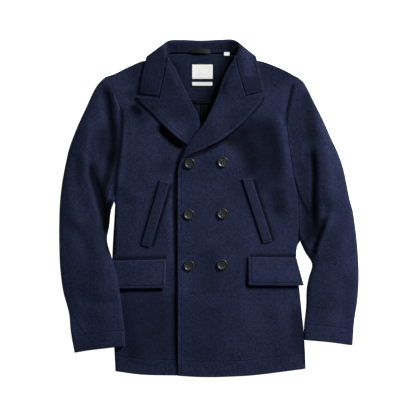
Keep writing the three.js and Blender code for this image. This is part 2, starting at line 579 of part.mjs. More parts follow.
// What shows inside the neck: facing, bindings, loop and bare labels
function makeNeck() {
  const { low, side, halfWidth, top, binding } = FACING;
  const left = NECK_X - halfWidth;
  const right = NECK_X + halfWidth;
  const lowEdge = (drop) => [[left, side - drop], [NECK_X - 52, low + 8 - drop], [NECK_X, low - drop],
    [NECK_X + 52, low + 8 - drop], [right, side - drop]];
  const straight = (a, b) => (v) => [lerp(a[0], b[0], v), lerp(a[1], b[1], v)];
  const between = (lower, upper, rowCount) => patch({
    left: straight(lower[0], upper[0]),
    right: straight(lower[lower.length - 1], upper[upper.length - 1]),
    bottom: through(lower),
    top: through(upper),
  }, spread(8), spread(rowCount));
  const onBack = (x, y) => backTop(x, y) + PLY + 0.1;
  const facingTop = [[left, top - 1], [NECK_X - 40, top], [NECK_X, top], [NECK_X + 40, top - 1],
    [right, top - 1]];
  sheet('back_neck_facing', between(lowEdge(0), facingTop, 7), onBack, FACING_CLOTH, NAVY);
  sheet('facing_binding', between(lowEdge(binding), lowEdge(SEAM), 1), onBack, FACING_CLOTH, OLIVE_TAPE);

  const { low: seamLow, inner, width } = SEAM_BINDING;
  const seamHigh = low - binding - 3;
  [['right', -1], ['left', 1]].forEach(([name, sign]) => {
    const xs = [BACK_SEAM_X + sign * inner, BACK_SEAM_X + sign * (inner + width)].sort((a, b) => a - b);
    const row = (height) => [[xs[0], height], [xs[1], height]];
    laid(`seam_binding_${name}`, row(seamLow), row(seamHigh), [1, 14], (x, y) => backTop(x, y) + PLY,
      TAPE, OLIVE_TAPE);
  });

  const onFacing = (x, y) => backTop(x, Math.min(y, 374)) + FACING_CLOTH + 2 * PLY + 0.2;
  Object.entries(LABELS).forEach(([name, { x, y }]) => {
    const row = (height) => [[x[0], height], [x[1], height]];
    laid(name, row(y[0]), row(y[1]), [2, 3], onFacing, TAPE, LABEL_WHITE);
  });
  const { from, to, rise, width: strap } = LOOP;
  const middle = (shift) => [[from[0], from[1] + shift], [(from[0] + to[0]) / 2, from[1] - 2 + shift],
    [to[0], to[1] + shift]];
  const loop = patch({
    left: straight([from[0], from[1] - strap], from),
    right: straight([to[0], to[1] - strap], to),
    bottom: through(middle(-strap)),
    top: through(middle(0)),
  }, spread(8), spread(2));
  sheet('hanger_loop', loop, (x, y, u) => onFacing(x, y) + rise * Math.sin(Math.PI * u) * 0.3, TAPE, SATIN);
}

makeBacks();
makeFronts();
makeLapel('lapel_right', RIGHT_LAPEL, UNDER_EDGE, LAPEL_OVERHANG, rightFrontTop);
makeLapel('lapel_left', LEFT_LAPEL, OVER_EDGE, -LAPEL_OVERHANG, leftFrontTop);
makeCollar();
makeSleeves();
makePockets();
await makeButtons();
makeNeck();

export default coat;
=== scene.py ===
"""A navy wool pea coat laid flat on its back, seen from straight above: cloth, sewing and finishes.

Lengths are in millimetres until a mesh is made. X runs across the coat, Y up it to the collar and Z up
from the surface that it lies on. Right and left are the wearer's, so the right side has negative X.
"""

import bpy
import numpy as np
from mathutils import Matrix, Vector


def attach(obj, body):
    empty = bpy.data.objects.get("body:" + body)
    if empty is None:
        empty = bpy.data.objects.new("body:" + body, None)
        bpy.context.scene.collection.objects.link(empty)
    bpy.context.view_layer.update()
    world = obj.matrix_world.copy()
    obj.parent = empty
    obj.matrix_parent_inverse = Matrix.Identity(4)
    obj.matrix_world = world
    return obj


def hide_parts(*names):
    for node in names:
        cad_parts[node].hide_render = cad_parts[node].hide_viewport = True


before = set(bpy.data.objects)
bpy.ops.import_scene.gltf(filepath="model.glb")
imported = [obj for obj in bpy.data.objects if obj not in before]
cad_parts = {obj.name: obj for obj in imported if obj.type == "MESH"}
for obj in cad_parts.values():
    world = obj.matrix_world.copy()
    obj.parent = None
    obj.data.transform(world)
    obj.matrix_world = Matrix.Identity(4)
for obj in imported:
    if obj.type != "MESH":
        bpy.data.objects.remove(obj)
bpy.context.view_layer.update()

MM = 0.001

# The backs: two panels of navy melton wool, the lowest layer of the laid coat, sewn to each other at
# the centre back seam and to the fronts at the sides and shoulders. Only the part inside the neck shows.
CLOTH = 3.0
PLY = 0.45
FAR = 99.0
COLLAR_CLOTH = 3.6
SHOULDER_Y = 324.0
NECK_Y = 376.0
NECK_X = -18.0
BACK_SEAM_X = -22.0
BACK_INSET = 5.0
ARMHOLE_REACH = 3.0
RIGHT_ARMPIT, LEFT_ARMPIT = 22.0, -76.0
# The side edges of the body, up the coat, as rows of Y and X. All edges of panels below are in this form.
RIGHT_SIDE = [[-396, -229], [-339, -232], [-271, -237], [-186, -238], [-100, -236], [-12, -231],
              [61, -227], [100, -223], [139, -217], [180, -212], [224, -212], [256, -220], [290, -233],
              [324, -245]]
LEFT_SIDE = [[-390, 236], [-332, 233.5], [-232, 224.5], [-154, 216], [-122, 213], [-98, 214], [-75, 219],
             [-20, 218], [29, 216], [75, 207], [119, 200], [167, 193], [212, 189], [241, 190],
             [278, 195], [324, 207.5]]
# The shoulder and neck edges of the backs, as rows of X and Y
RIGHT_BACK_TOP = [[-233, 328], [-200, 344], [-148, 361], [-122, 368], [-98, 375.5], [-60, 377.5]]
LEFT_BACK_TOP = [[30, 376], [60, 374.5], [86, 368.5], [109, 361.5], [165, 346], [197, 331]]


def lerp(a, b, t):
    return a + (b - a) * t


def smoothstep(x, low, high):
    t = np.clip((x - low) / (high - low), 0, 1)
    return t * t * (3 - 2 * t)


def soft_max(a, b):
    return (a + b + np.sqrt((a - b) ** 2 + 1)) / 2


def quarter_bend(distance, radius):
    """From 0 at an edge that bends down, up a quarter circle to 1 at its radius."""
    return np.sqrt(1 - (1 - np.clip(distance / radius, 0, 1)) ** 2)


def run_along(points, axis):
    """The length run so far up each column (axis 0) or along each row (axis 1) of a grid of points."""
    steps = np.linalg.norm(np.diff(points, axis=axis), axis=-1)
    return np.cumsum(np.pad(steps, ((1, 0), (0, 0)) if axis == 0 else ((0, 0), (1, 0))), axis=axis)


def across(sections, y):
    """The value at y between sections [y, value]: a cubic from each section to the next, whose slope at
    a section is that of the line between its neighbours."""
    ys, xs = np.asarray(sections, float).T
    last = len(ys) - 1
    before = np.maximum(np.arange(last + 1) - 1, 0)
    after = np.minimum(np.arange(last + 1) + 1, last)
    slopes = (xs[after] - xs[before]) / (ys[after] - ys[before])
    i = np.clip(np.searchsorted(ys, y) - 1, 0, last - 1)
    span = ys[i + 1] - ys[i]
    t = np.clip((y - ys[i]) / span, 0, 1)
    start = t * (1 - t) ** 2 * span * slopes[i]
    end = t * t * (t - 1) * span * slopes[i + 1]
    return lerp(xs[i], xs[i + 1], t * t * (3 - 2 * t)) + start + end


def spline(points, t):
    """Points of a centripetal Catmull-Rom curve at each t from 0 to 1. points may be rows of many
    points, and each column is then its own curve."""
    p = np.asarray(points, float)
    p = np.concatenate([2 * p[:1] - p[1:2], p, 2 * p[-1:] - p[-2:-1]])
    gap = np.sqrt(np.linalg.norm(np.diff(p, axis=0), axis=-1, keepdims=True)) + 1e-9
    place = np.clip(np.asarray(t, float), 0, 1) * (len(p) - 3)
    i = np.minimum(place.astype(int), len(p) - 4)
    s = (place - i).reshape((-1,) + (1,) * (p.ndim - 1))
    a, b, c, d = p[i], p[i + 1], p[i + 2], p[i + 3]
    g0, g1, g2 = gap[i], gap[i + 1], gap[i + 2]
    leave = ((b - a) / g0 - (c - a) / (g0 + g1) + (c - b) / g1) * g1
    arrive = ((c - b) / g1 - (d - b) / (g1 + g2) + (d - c) / g2) * g1
    return (b * (1 + 2 * s) * (1 - s) ** 2 + c * s * s * (3 - 2 * s)
            + leave * s * (1 - s) ** 2 + arrive * s * s * (s - 1))


def through(points):
    """A curve through the points as a function of 0 to 1, evenly by its length."""
    line = spline(points, np.linspace(0, 1, 16 * len(points)))
    length = np.concatenate([[0], np.cumsum(np.linalg.norm(np.diff(line, axis=0), axis=1))])

    def at(t):
        t = np.asarray(t, float) * length[-1]
        return np.stack([np.interp(t, length, line[:, k]) for k in range(line.shape[1])], -1)
    return at


def spaced(length, step):
    """Places from 0 to 1 along each length: three close lines at both ends, which round the edge, and
    even steps between them."""
    length = np.atleast_1d(np.asarray(length, float))[:, None]
    near = np.array([0, 0.3, 0.9, 1.9]) / length
    count = int(np.max(length) / step)
    middle = near[:, -1:] + (1 - 2 * near[:, -1:]) * np.linspace(0, 1, count)[1:-1]
    return np.concatenate([near, middle, 1 - near[:, ::-1]], 1)


def patch(left, right, bottom, top, step, row_step=None):
    """A grid of plan points between four edges, each point a blend of the edges that face it, and the
    u and v of each point."""
    height = np.linalg.norm(top(0.5) - bottom(0.5))
    v = spaced(height, row_step or step)[0]
    u = spaced(np.maximum(np.linalg.norm(right(v) - left(v), axis=1), 12), step)
    v = np.broadcast_to(v[:, None], u.shape)
    u1, v1 = u[..., None], v[..., None]
    corners = ((1 - u1) * ((1 - v1) * left(0.0) + v1 * left(1.0))
               + u1 * ((1 - v1) * right(0.0) + v1 * right(1.0)))
    plan = (1 - u1) * left(v) + u1 * right(v) + (1 - v1) * bottom(u) + v1 * top(u) - corners
    return plan, u, v


def from_line(plan, line):
    """Distance of each plan point from a line of points, the length along it, and which side it is on."""
    best = np.full(plan.shape[:-1], np.inf)
    along = np.zeros_like(best)
    side = np.ones_like(best)
    start = 0.0
    for a, b in zip(line[:-1], line[1:]):
        step = b - a
        length = np.hypot(*step) + 1e-9
        rel = plan - a
        t = np.clip((rel @ step) / length ** 2, 0, 1)
        off = np.hypot(rel[..., 0] - t * step[0], rel[..., 1] - t * step[1])
        near = off < best
        best = np.where(near, off, best)
        along = np.where(near, start + t * length, along)
        side = np.where(near, np.sign(step[0] * rel[..., 1] - step[1] * rel[..., 0]), side)
        start += length
    return best, along, side, start


def creases(table, x, y):
    """The height of soft creases. Each follows a curve and is a bell across it, with its own width on
    the left and right of the curve, and fades out over the last stretch at both ends."""
    plan = np.stack(np.broadcast_arrays(x, y), -1).astype(float)
    total = np.zeros(plan.shape[:-1])
    for path, left, right, fade, height in table:
        line = through(path)(np.linspace(0, 1, 4 * len(path)))
        off, along, side, length = from_line(plan, line)
        width = np.where(side > 0, left, right)
        ends = smoothstep(along, 0, fade) * smoothstep(length - along, 0, fade)
        total += height * np.exp(-(off / width) ** 2) * ends
    return total


def unevenness(x, y, size, height, seed):
    """A slow wander of the cloth: waves of three directions and lengths, near size, added together."""
    total = 0.0
    for k, (turn, stretch) in enumerate([(0.4, 1.0), (1.5, 0.73), (2.7, 1.37)]):
        place = (x * np.cos(turn + seed) + y * np.sin(turn + seed)) / (size * stretch)
        bend = np.sin((x * np.sin(turn) - y * np.cos(turn)) / (size * 1.9) + seed)
        total = total + np.sin(2 * np.pi * place + 1.3 * bend + k * 2.1 + seed)
    return height * total / 3


def shell(name, middle, thickness, lines=(), square=False, rim=None, shade=0.0):
    """A closed sheet of cloth about a grid of middle points. Half the thickness lies on each side,
    straight up and down or square to the cloth, and it thins to nothing at the edge in a quarter circle.
    lines are signed distances from up to three rows of stitches or seams, rim is the distance from the
    nearest cut or turned edge, and shade is how many stops lighter the colour is painted, painted light
    where it is above nothing and painted shade where it is below."""
    rows, cols = middle.shape[:2]
    up, along = run_along(middle, 0), run_along(middle, 1)
    inset = np.minimum.reduce([up, up[-1:] - up, along, along[:, -1:] - along])
    half = np.asarray(thickness) / 2
    half = half * quarter_bend(inset, np.maximum(half, 0.4))
    normal = np.array([0.0, 0.0, 1.0])
    if square:
        normal = np.cross(np.gradient(middle, axis=1), np.gradient(middle, axis=0))
        normal /= np.linalg.norm(normal, axis=-1, keepdims=True) + 1e-12
    upper = middle + normal * half[..., None]
    lower = middle - normal * half[..., None]
    top = np.arange(rows * cols).reshape(rows, cols)
    inner = np.zeros((rows, cols), bool)
    inner[1:-1, 1:-1] = True
    bottom = top.copy()
    bottom[inner] = rows * cols + np.arange(inner.sum())

    def quads(ids):
        return np.stack([ids[:-1, :-1], ids[:-1, 1:], ids[1:, 1:], ids[1:, :-1]], -1).reshape(-1, 4)
    faces = np.concatenate([quads(top), quads(bottom)[:, ::-1]])
    points = np.concatenate([upper.reshape(-1, 3), lower[inner]])
    mesh = bpy.data.meshes.new(name)
    mesh.from_pydata((points * MM).tolist(), [], faces.tolist())
    mesh.polygons.foreach_set("use_smooth", np.ones(len(faces), bool))
    marks = np.full((3, rows, cols), FAR)
    for k, line in enumerate(lines):
        marks[k] = line
    marks = np.concatenate([marks.reshape(3, -1), marks[:, inner]], 1)
    mesh.attributes.new("lines", "FLOAT_VECTOR", "POINT").data.foreach_set("vector", marks.T.ravel())
    for key, value in (("rim", inset if rim is None else rim), ("shade", shade + np.zeros((rows, cols)))):
        value = np.concatenate([value.ravel(), value[inner]])
        mesh.attributes.new(key, "FLOAT", "POINT").data.foreach_set("value", value)
    return mesh


def piece(mesh, material, slot, *nodes):
    """An object for the mesh that rides on the coat and stands for the CAD nodes named."""
    thing = bpy.data.objects.new(mesh.name, mesh)
    bpy.context.collection.objects.link(thing)
    mesh.materials.append(material)
    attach(thing, "root")
    if nodes:
        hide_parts(*nodes)
    return thing


def laid_cloth(thing, middle, rests_on, with_pieces=(), boxed=False):
    """Finds the two diagonals across each cell of its middle, and does nothing more with them."""
    a = middle[1:, 1:] - middle[:-1, :-1]
    b = middle[1:, :-1] - middle[:-1, 1:]


class Socket:
    """A shader value. Sums and products of these, also with plain numbers, make Math nodes."""

    def __init__(self, tree, source):
        self.tree, self.source = tree, source

    def node(self, kind, settings=None, sockets=None, output=0):
        made = self.tree.nodes.new(kind)
        for key, value in (settings or {}).items():
            setattr(made, key, value)
        for key, value in (sockets or {}).items():
            if isinstance(value, Socket):
                self.tree.links.new(value.source, made.inputs[key])
            else:
                made.inputs[key].default_value = value
        return Socket(self.tree, made.outputs[output])

    def math(self, operation, first, second=0.0):
        return self.node("ShaderNodeMath", {"operation": operation}, {0: first, 1: second})

    def __add__(self, other):
        return self.math("ADD", self, other)

    def __sub__(self, other):
        return self.math("SUBTRACT", self, other)

    def __rsub__(self, other):
        return self.math("SUBTRACT", other, self)

    def __mul__(self, other):
        return self.math("MULTIPLY", self, other)

    def __truediv__(self, other):
        return self.math("DIVIDE", self, other)

    def __abs__(self):
        return self.math("ABSOLUTE", self)

    def between(self, low, high, to_low=0.0, to_high=1.0):
        """A smooth change from to_low at low to to_high at high."""
        return self.node("ShaderNodeMapRange", {"interpolation_type": "SMOOTHSTEP"},
                         {"Value": self, "From Min": low, "From Max": high,
                          "To Min": to_low, "To Max": to_high})

    __radd__ = __add__
    __rmul__ = __mul__


def blend_colours(factor, low, high):
    """The colour low where the factor is 0, high where it is 1."""
    return factor.node("ShaderNodeMix", {"data_type": "RGBA"}, {0: factor, 6: low, 7: high}, output=2)


def finish(name, settings):
    """A new material, its Principled shader with these constant settings, and a value to start from."""
    material = bpy.data.materials.new(name)
    material.use_nodes = True
    shader = material.node_tree.nodes["Principled BSDF"]
    for key, value in settings.items():
        shader.inputs[key].default_value = value
    start = Socket(material.node_tree, None)
    return material, shader, start


def connect(shader, **values):
    """Links values to the shader's inputs, with an underscore for each space in a name."""
    for key, value in values.items():
        value.tree.links.new(value.source, shader.inputs[key.replace("_", " ")])


def noise(place, scale, detail=3.0, roughness=0.55, distortion=0.0):
    """Cloudy noise from 0 to 1, scale clouds to the metre."""
    return place.node("ShaderNodeTexNoise", None,
                      {"Vector": place, "Scale": scale, "Detail": detail, "Roughness": roughness,
                       "Distortion": distortion})


def melton():
    """Felted navy melton: a short matt nap, mottled where it catches the light, and pressed grooves
    along the rows of stitches, bumped in and darkened with painted shade. A painted highlight lightens
    the cloth near each cut or turned edge, and the shade attribute paints light and shade in stops."""
    dark, light = (0.0048, 0.0074, 0.0235, 1), (0.0272, 0.0338, 0.0785, 1)
    material, shader, start = finish("navy_wool", {
        "Roughness": 0.95, "Specular IOR Level": 0.05, "Sheen Weight": 0.03, "Sheen Roughness": 0.45,
        "Sheen Tint": (0.42, 0.46, 0.8, 1)})
    place = start.node("ShaderNodeTexCoord", output=3)
    lines = start.node("ShaderNodeAttribute", {"attribute_name": "lines"}, output=1)
    rim = start.node("ShaderNodeAttribute", {"attribute_name": "rim"}, output=2)
    patches = noise(place, 22, 3.0, 0.6)
    mottle = noise(place, 120, 4.0, 0.65)
    nap = noise(place, 520, 3.0, 0.7)
    fine = noise(place, 1400, 2.0, 0.6)
    # Painted shade in the pressed grooves along the rows of stitches and seams; the grooves also dip the bump
    groove = None
    for k in range(3):
        part = start.node("ShaderNodeSeparateXYZ", None, {0: lines}, output=k)
        dip = abs(part).between(0.0, 1.6, 1.0, 0.0)
        groove = dip if groove is None else groove.math("MAXIMUM", groove, dip)
    # A painted highlight that lightens the cloth within about 3 mm of each cut or turned edge
    edge = rim.between(0.4, 3.4, 1.0, 0.0)
    tone = patches * 0.3 + mottle * 0.55 + nap * 2.4 - 1.155 + edge * 0.22 - groove * 0.5
    # Painted light and shade: the colour is scaled by two to the power of the shade attribute, in stops
    painted_shade = start.node("ShaderNodeAttribute", {"attribute_name": "shade"}, output=2)
    colour = blend_colours(tone.between(0.0, 1.0), dark, light)
    colour = start.node("ShaderNodeVectorMath", {"operation": "SCALE"},
                        {0: colour, "Scale": painted_shade.math("POWER", 2.0, painted_shade)})
    height = nap * 0.5 + fine * 0.35 + mottle * 0.35 - groove * 1.5
    bump = start.node("ShaderNodeBump", None, {"Height": height, "Strength": 0.55, "Distance": 0.0011})
    connect(shader, Base_Color=colour, Normal=bump)
    return material


navy_wool = melton()


def wool_sheet(node, middle, thickness, name=None, **marks):
    """A sheet of the navy wool that stands for a CAD node, named for it unless a name is given."""
    mesh = shell(f"wool_{name or node}", middle, thickness, **marks)
    return piece(mesh, navy_wool, "navy_wool", node)


def right_side(y):
    return across(RIGHT_SIDE, y)


def left_side(y):
    return across(LEFT_SIDE, y)


def side_edge(sections, low, high):
    """An edge up the coat between two heights, as a function of 0 to 1."""
    return lambda v: np.stack([across(sections, lerp(low, high, np.asarray(v, float))),
                               lerp(low, high, np.asarray(v, float))], -1)


def neck_raise(x, y):
    """How much the layers above the hidden half of the collar are lifted, from 0 to 1."""
    return smoothstep(y, 268, 326) * (1 - smoothstep(np.abs(x - NECK_X), 132, 200))


def back_under(x, y):
    """The underside of the backs: on the surface, and raised over the hidden half of the collar."""
    return (COLLAR_CLOTH + PLY + 0.3) * neck_raise(x, y)


def back_top(x, y):
    return back_under(x, y) + CLOTH


def straight(a, b):
    """The straight line from a to b as a function of 0 to 1."""
    a, b = np.asarray(a, float), np.asarray(b, float)
    return lambda t: a + (b - a) * np.asarray(t, float)[..., None]


def four_sided(low, high, step, row_step=None):
    """A grid between two straight ends, low and high, each from its left point to its right one."""
    return patch(straight(low[0], high[0]), straight(low[1], high[1]),
                 straight(*low), straight(*high), step, row_step)


# Painted shadow inside the neck. Each stroke: its path, its width to the left and right of it, the fade at
# its ends and its stops: the shadow beside the left lapel's roll and a small patch of painted shade on the
# right
NECK_SHADE = [([[72, 400], [56, 350], [32, 305], [8, 250], [-14, 205]], 60, 24, 10, -3.2),
              ([[-92, 356], [-70, 334]], 8, 8, 8, -0.8)]
backs = {}
for side, sections, sign, armpit, top_points in (
        ("right", RIGHT_SIDE, 1, RIGHT_ARMPIT, RIGHT_BACK_TOP),
        ("left", LEFT_SIDE, -1, LEFT_ARMPIT, LEFT_BACK_TOP)):
    low = sections[0][0] + 6

    def outer_edge(v):
        """Inside the side seam up to the armpit, and a little way under the sleeve above it."""
        y = lerp(low, SHOULDER_Y, np.asarray(v, float))
        inset = lerp(BACK_INSET, -ARMHOLE_REACH, smoothstep(y, armpit - 22, armpit - 3))
        return np.stack([across(sections, y) + sign * inset, y], -1)
    outer_low, outer_high = outer_edge(0.0), outer_edge(1.0)
    seam_low, seam_high = [BACK_SEAM_X, -402], [BACK_SEAM_X, 377.5]
    seam_edge = straight(seam_low, seam_high)
    if side == "right":
        edges = (outer_edge, seam_edge, through([outer_low, [-150, -400], seam_low]),
                 through([outer_high, *top_points, seam_high]))
    else:
        edges = (seam_edge, outer_edge, through([seam_low, [110, -400], outer_low]),
                 through([seam_high, *top_points, outer_high]))
    plan = patch(*edges, 8.0)[0]
    x, y = plan[..., 0], plan[..., 1]
    middle = np.dstack([x, y, back_under(x, y) + CLOTH / 2 + np.zeros_like(x)])
    # The backs are painted a stop darker all over, painted shade inside the neck, with the strokes above
    back = wool_sheet(f"back_{side}", middle, CLOTH, lines=[np.abs(x - BACK_SEAM_X) - 0.4],
                      shade=-1.0 + creases(NECK_SHADE, x, y))
    backs[side] = (back, middle)

# The neck facing: a shaped piece of the same wool inside the back of the neck. Its lower edge is bound
# with dark bias tape, and below it the centre back seam shows with its two bound allowances.
FACING_CLOTH = 2.0
TAPE = 0.9
FACING_LOW, FACING_SIDE, FACING_HALF, FACING_TOP = 263, 290, 96, 375.5
BINDING_LOW, BINDING_HIGH = 7, 0.5


def woven(name, colour, weave, rough, shine=0.35):
    """Plain woven tape or label cloth: fine threads across and along it."""
    material, shader, start = finish(name, {"Roughness": rough, "Specular IOR Level": shine})
    place = start.node("ShaderNodeTexCoord", output=3)
    threads = None
    for direction in ("X", "Y"):
        wave = start.node("ShaderNodeTexWave", {"bands_direction": direction},
                          {"Vector": place, "Scale": weave, "Distortion": 0.4, "Detail": 1.0}, output=1)
        threads = wave if threads is None else threads * wave
    blotch = noise(place, 300)
    tone = threads * 0.4 + blotch * 0.8 - 0.1
    dark = tuple(c * 0.72 for c in colour) + (1,)
    bump = start.node("ShaderNodeBump", None, {"Height": threads, "Strength": 0.3, "Distance": 0.0003})
    connect(shader, Base_Color=blend_colours(tone.between(0.0, 1.0), dark, colour + (1,)), Normal=bump)
    return material


bias_tape = woven("bias_tape", (0.0026, 0.0028, 0.0022), 700, 0.8, 0.06)


def facing_edge(drop):
    """Five points along the facing's lower edge, moved down by drop."""
    return [[NECK_X - FACING_HALF, FACING_SIDE - drop], [NECK_X - 52, FACING_LOW + 8 - drop],
            [NECK_X, FACING_LOW - drop], [NECK_X + 52, FACING_LOW + 8 - drop],
            [NECK_X + FACING_HALF, FACING_SIDE - drop]]


def between(lower, upper, step):
    """A grid between two curved lines, with straight sides that join their ends."""
    return patch(straight(lower[0], upper[0]), straight(lower[-1], upper[-1]),
                 through(lower), through(upper), step)[0]


def on_back(x, y):
    """Where the facing lies: a ply's room above the backs."""
    return back_top(x, y) + PLY + 0.1


FACING_TOP_LINE = [[NECK_X - FACING_HALF, FACING_TOP - 1], [NECK_X - 40, FACING_TOP],
                   [NECK_X, FACING_TOP], [NECK_X + 40, FACING_TOP - 1],
                   [NECK_X + FACING_HALF, FACING_TOP - 1]]
plan = between(facing_edge(0), FACING_TOP_LINE, 3.5)
x, y = plan[..., 0], plan[..., 1]
wave = unevenness(x, y, 55, 0.7, 0.3) + 0.7
middle = np.dstack([x, y, on_back(x, y) + FACING_CLOTH / 2 + wave * smoothstep(y, 268, 300)])
facing_edge_off = from_line(plan, through(facing_edge(0))(np.linspace(0, 1, 24)))[0]
# The facing is painted three quarters of a stop darker, painted shade inside the neck, with the same strokes
facing = wool_sheet("back_neck_facing", middle, FACING_CLOTH, "neck_facing",
                    lines=[facing_edge_off - 6], shade=-0.75 + creases(NECK_SHADE, x, y))
facing_middle = middle

plan = between(facing_edge(BINDING_LOW), facing_edge(BINDING_HIGH), 2.5)
x, y = plan[..., 0], plan[..., 1]
middle = np.dstack([x, y, on_back(x, y) + FACING_CLOTH / 2 + np.zeros_like(x)])
binding = piece(shell("tape_facing_binding", middle, FACING_CLOTH), bias_tape, "bias_tape",
                "facing_binding")

for side, sign in (("right", -1), ("left", 1)):
    x0, x1 = sorted((BACK_SEAM_X + sign * 10, BACK_SEAM_X + sign * 18))
    low, high = -372, FACING_LOW - BINDING_LOW - 3
    plan = four_sided([[x0, low], [x1, low]], [[x0, high], [x1, high]], 2.5, 5.0)[0]
    x, y = plan[..., 0], plan[..., 1]
    middle = np.dstack([x, y, back_top(x, y) + PLY + TAPE / 2 + np.zeros_like(x)])
    strip = piece(shell(f"tape_seam_binding_{side}", middle, TAPE), bias_tape, "bias_tape",
                  f"seam_binding_{side}")
    laid_cloth(*backs[side], [], [strip])

# Hanger loop and labels: a loop of dark satin ribbon caught in the neck seam, two bare woven labels
# sewn on the facing and a bare white tab beside them.
LOOP_ENDS, LOOP_WIDTH, LOOP_RISE = ([-43.5, 387], [3, 385]), 8.0, 2.6
LABELS = {"label_main": ((-41.5, 8.5), (316, 351)), "label_strip": ((-41.5, 7.8), (299.5, 308.5)),
          "label_tab": ((36.2, 49.4), (372.5, 381))}
satin = woven("satin_tape", (0.0055, 0.0056, 0.0060), 1500, 0.45, 0.25)
label_cloth = woven("label_cloth", (0.90, 0.90, 0.89), 1500, 0.75)


def on_facing(x, y):
    """Where the labels and the loop lie: above the facing and the most that it wanders."""
    return back_top(x, np.minimum(y, 374)) + FACING_CLOTH + 2 * PLY + 1.4


sewn_on = [binding]
for name, ((x0, x1), (y0, y1)) in LABELS.items():
    plan, u, _ = four_sided([[x0, y0], [x1, y0]], [[x0, y1], [x1, y1]], 2.0)
    x, y = plan[..., 0], plan[..., 1]
    curl = 0.5 * smoothstep(np.abs(u - 0.5), 0.3, 0.5) + unevenness(x, y, 30, 0.15, 0.8)
    middle = np.dstack([x, y, on_facing(x, y) + TAPE / 2 + curl])
    sewn_on.append(piece(shell(f"cloth_{name}", middle, TAPE), label_cloth, "label_cloth", name))

(x0, y0), (x1, y1) = LOOP_ENDS
plan, u, _ = patch(straight([x0, y0 - LOOP_WIDTH], [x0, y0]), straight([x1, y1 - LOOP_WIDTH], [x1, y1]),
                   straight([x0, y0 - LOOP_WIDTH], [x1, y1 - LOOP_WIDTH]),
                   through([[x0, y0], [x0 + 6, y0 + 2], [x1 - 8, y1 + 3], [x1, y1]]), 2.0)
x, y = plan[..., 0], plan[..., 1]
middle = np.dstack([x, y, on_facing(x, y) + 2.6 + LOOP_RISE * np.sin(np.pi * u)])
sewn_on.append(piece(shell("satin_hanger_loop", middle, TAPE), satin, "satin_tape", "hanger_loop"))
laid_cloth(facing, facing_middle, ["wool_back_right", "wool_back_left"], sewn_on)

# The right front: the panel that lies underneath, over the back and the neck facing, with its lapel
# turned back on it. Its hem is turned up 39 mm and stitched.
FULLNESS = 5.5
HEM_UP = 39.0
STITCH_PITCH, STITCH_LENGTH, STITCH_RADIUS = 3.7, 2.8, 0.33
UNDER_EDGE = [[-407, 65], [70, 65], [90, 60], [118, 38], [143, 13], [172, -8], [201, -22], [232, -30],
              [269, -50], [309, -69], [346, -86.5], [362, -98.5], [378, -105]]
RIGHT_HEM = [[-164, -404], [-81, -406], [0, -407]]
RIGHT_SHOULDER = [[-233, 328], [-200, 344], [-165, 358.5], [-148, 361], [-126, 367.5]]
# Each crease: its path, its width to the left and right of the path, the fade at its ends, its height
RIGHT_FRONT_CREASES = [
    ([[-170, 300], [-186, 270], [-178, 235]], 18, 18, 20, -3.0),
    ([[-206, 260], [-196, 180], [-200, 90]], 16, 16, 50, 2.6),
    ([[-150, 200], [-160, 120], [-150, 40]], 26, 26, 60, 2.4),
    ([[-236, 70], [-190, 40], [-140, 22]], 12, 18, 30, 1.7),
    ([[-232, 30], [-200, 12], [-170, 8]], 9, 12, 25, -1.6),
    ([[-205, -215], [-180, -300], [-150, -395]], 26, 20, 50, 2.4),
    ([[-130, -200], [-120, -290], [-125, -395]], 18, 22, 50, -2.0),
    ([[-100, 60], [-108, -20], [-96, -110]], 26, 22, 60, 1.6),
    ([[-92, -130], [-88, -260], [-92, -390]], 12, 16, 60, -1.6),
]
RIGHT_ARMHOLE = [[-212, 250], [-212, 190], [-218, 124], [-225, 80], [-229, 24]]
# Where light and shade are painted on its colour, darker or lighter, in the same form, with stops for
# the height: painted shadows under the lapel, along the front edge, side and armhole and round the
# flap and welt, and painted light in a few strips
RIGHT_FRONT_SHADE = [
    ([[-127, 206], [-112, 188], [-98, 173], [-82, 160], [-60, 149]], 8, 6.5, 20, -7.0),
    ([[-198, 252], [-180, 244], [-162, 226]], 9, 9, 14, -2.4),
    ([[-196, 292], [-184, 262]], 12, 12, 12, -1.0),
    ([[-190, 256], [-170, 226], [-150, 204]], 18, 16, 16, -0.9),
    ([[-231, 14], [-233, -116]], 5, 5, 8, -3.6),
    ([[-204, 215], [-208, 120], [-216, 50]], 6, 6, 20, 0.5),
    ([[-112, 124], [-104, 76]], 20, 20, 20, -0.6),
    ([[-150, -190], [-150, -395]], 80, 80, 50, -0.75),
    ([[-205, 318], [-140, 335]], 30, 30, 30, -0.5),
    (RIGHT_ARMHOLE, 4.5, 4, 14, -1.9),
    ([[-20, 160], [-34, 142], [-50, 130], [-68, 114], [-80, 88], [-80, -140]], 4, 4, 10, -4.0),
    ([[-80, -120], [-80, -395]], 4, 4, 30, -3.2),
    ([[-82, -190], [-82, -345]], 4, 6, 30, -1.2),
    ([[-93, 100], [-91, -150]], 7, 8, 30, 0.5),
    ([[-236, -122], [-103, -118]], 4, 4, 5, -1.8),
    ([[-238, -198], [-112, -197]], 6, 5, 5, -2.6),
    ([[-168, -90], [-122, 70]], 4, 3, 5, -1.6),
    ([[-139, -94], [-92.5, 62]], 4, 4, 5, -2.4),
]


def facing_raise(x, y):
    """What the neck facing adds under the layers over it, easing out past its lower edge and sides."""
    return (FACING_CLOTH + PLY + 0.1) * smoothstep(y, 206, 256) * (
        1 - smoothstep(np.abs(x - NECK_X), FACING_HALF + 2, FACING_HALF + 72))


def side_distance(x, y):
    """The distance in from the nearer side seam."""
    return np.minimum(x - right_side(y), left_side(y) - x)


def armhole_height(y):
    """The room inside the body at the armhole seams, which the sleeves share."""
    return FULLNESS * lerp(0.5, 1, 1 - smoothstep(y, 250, 330))


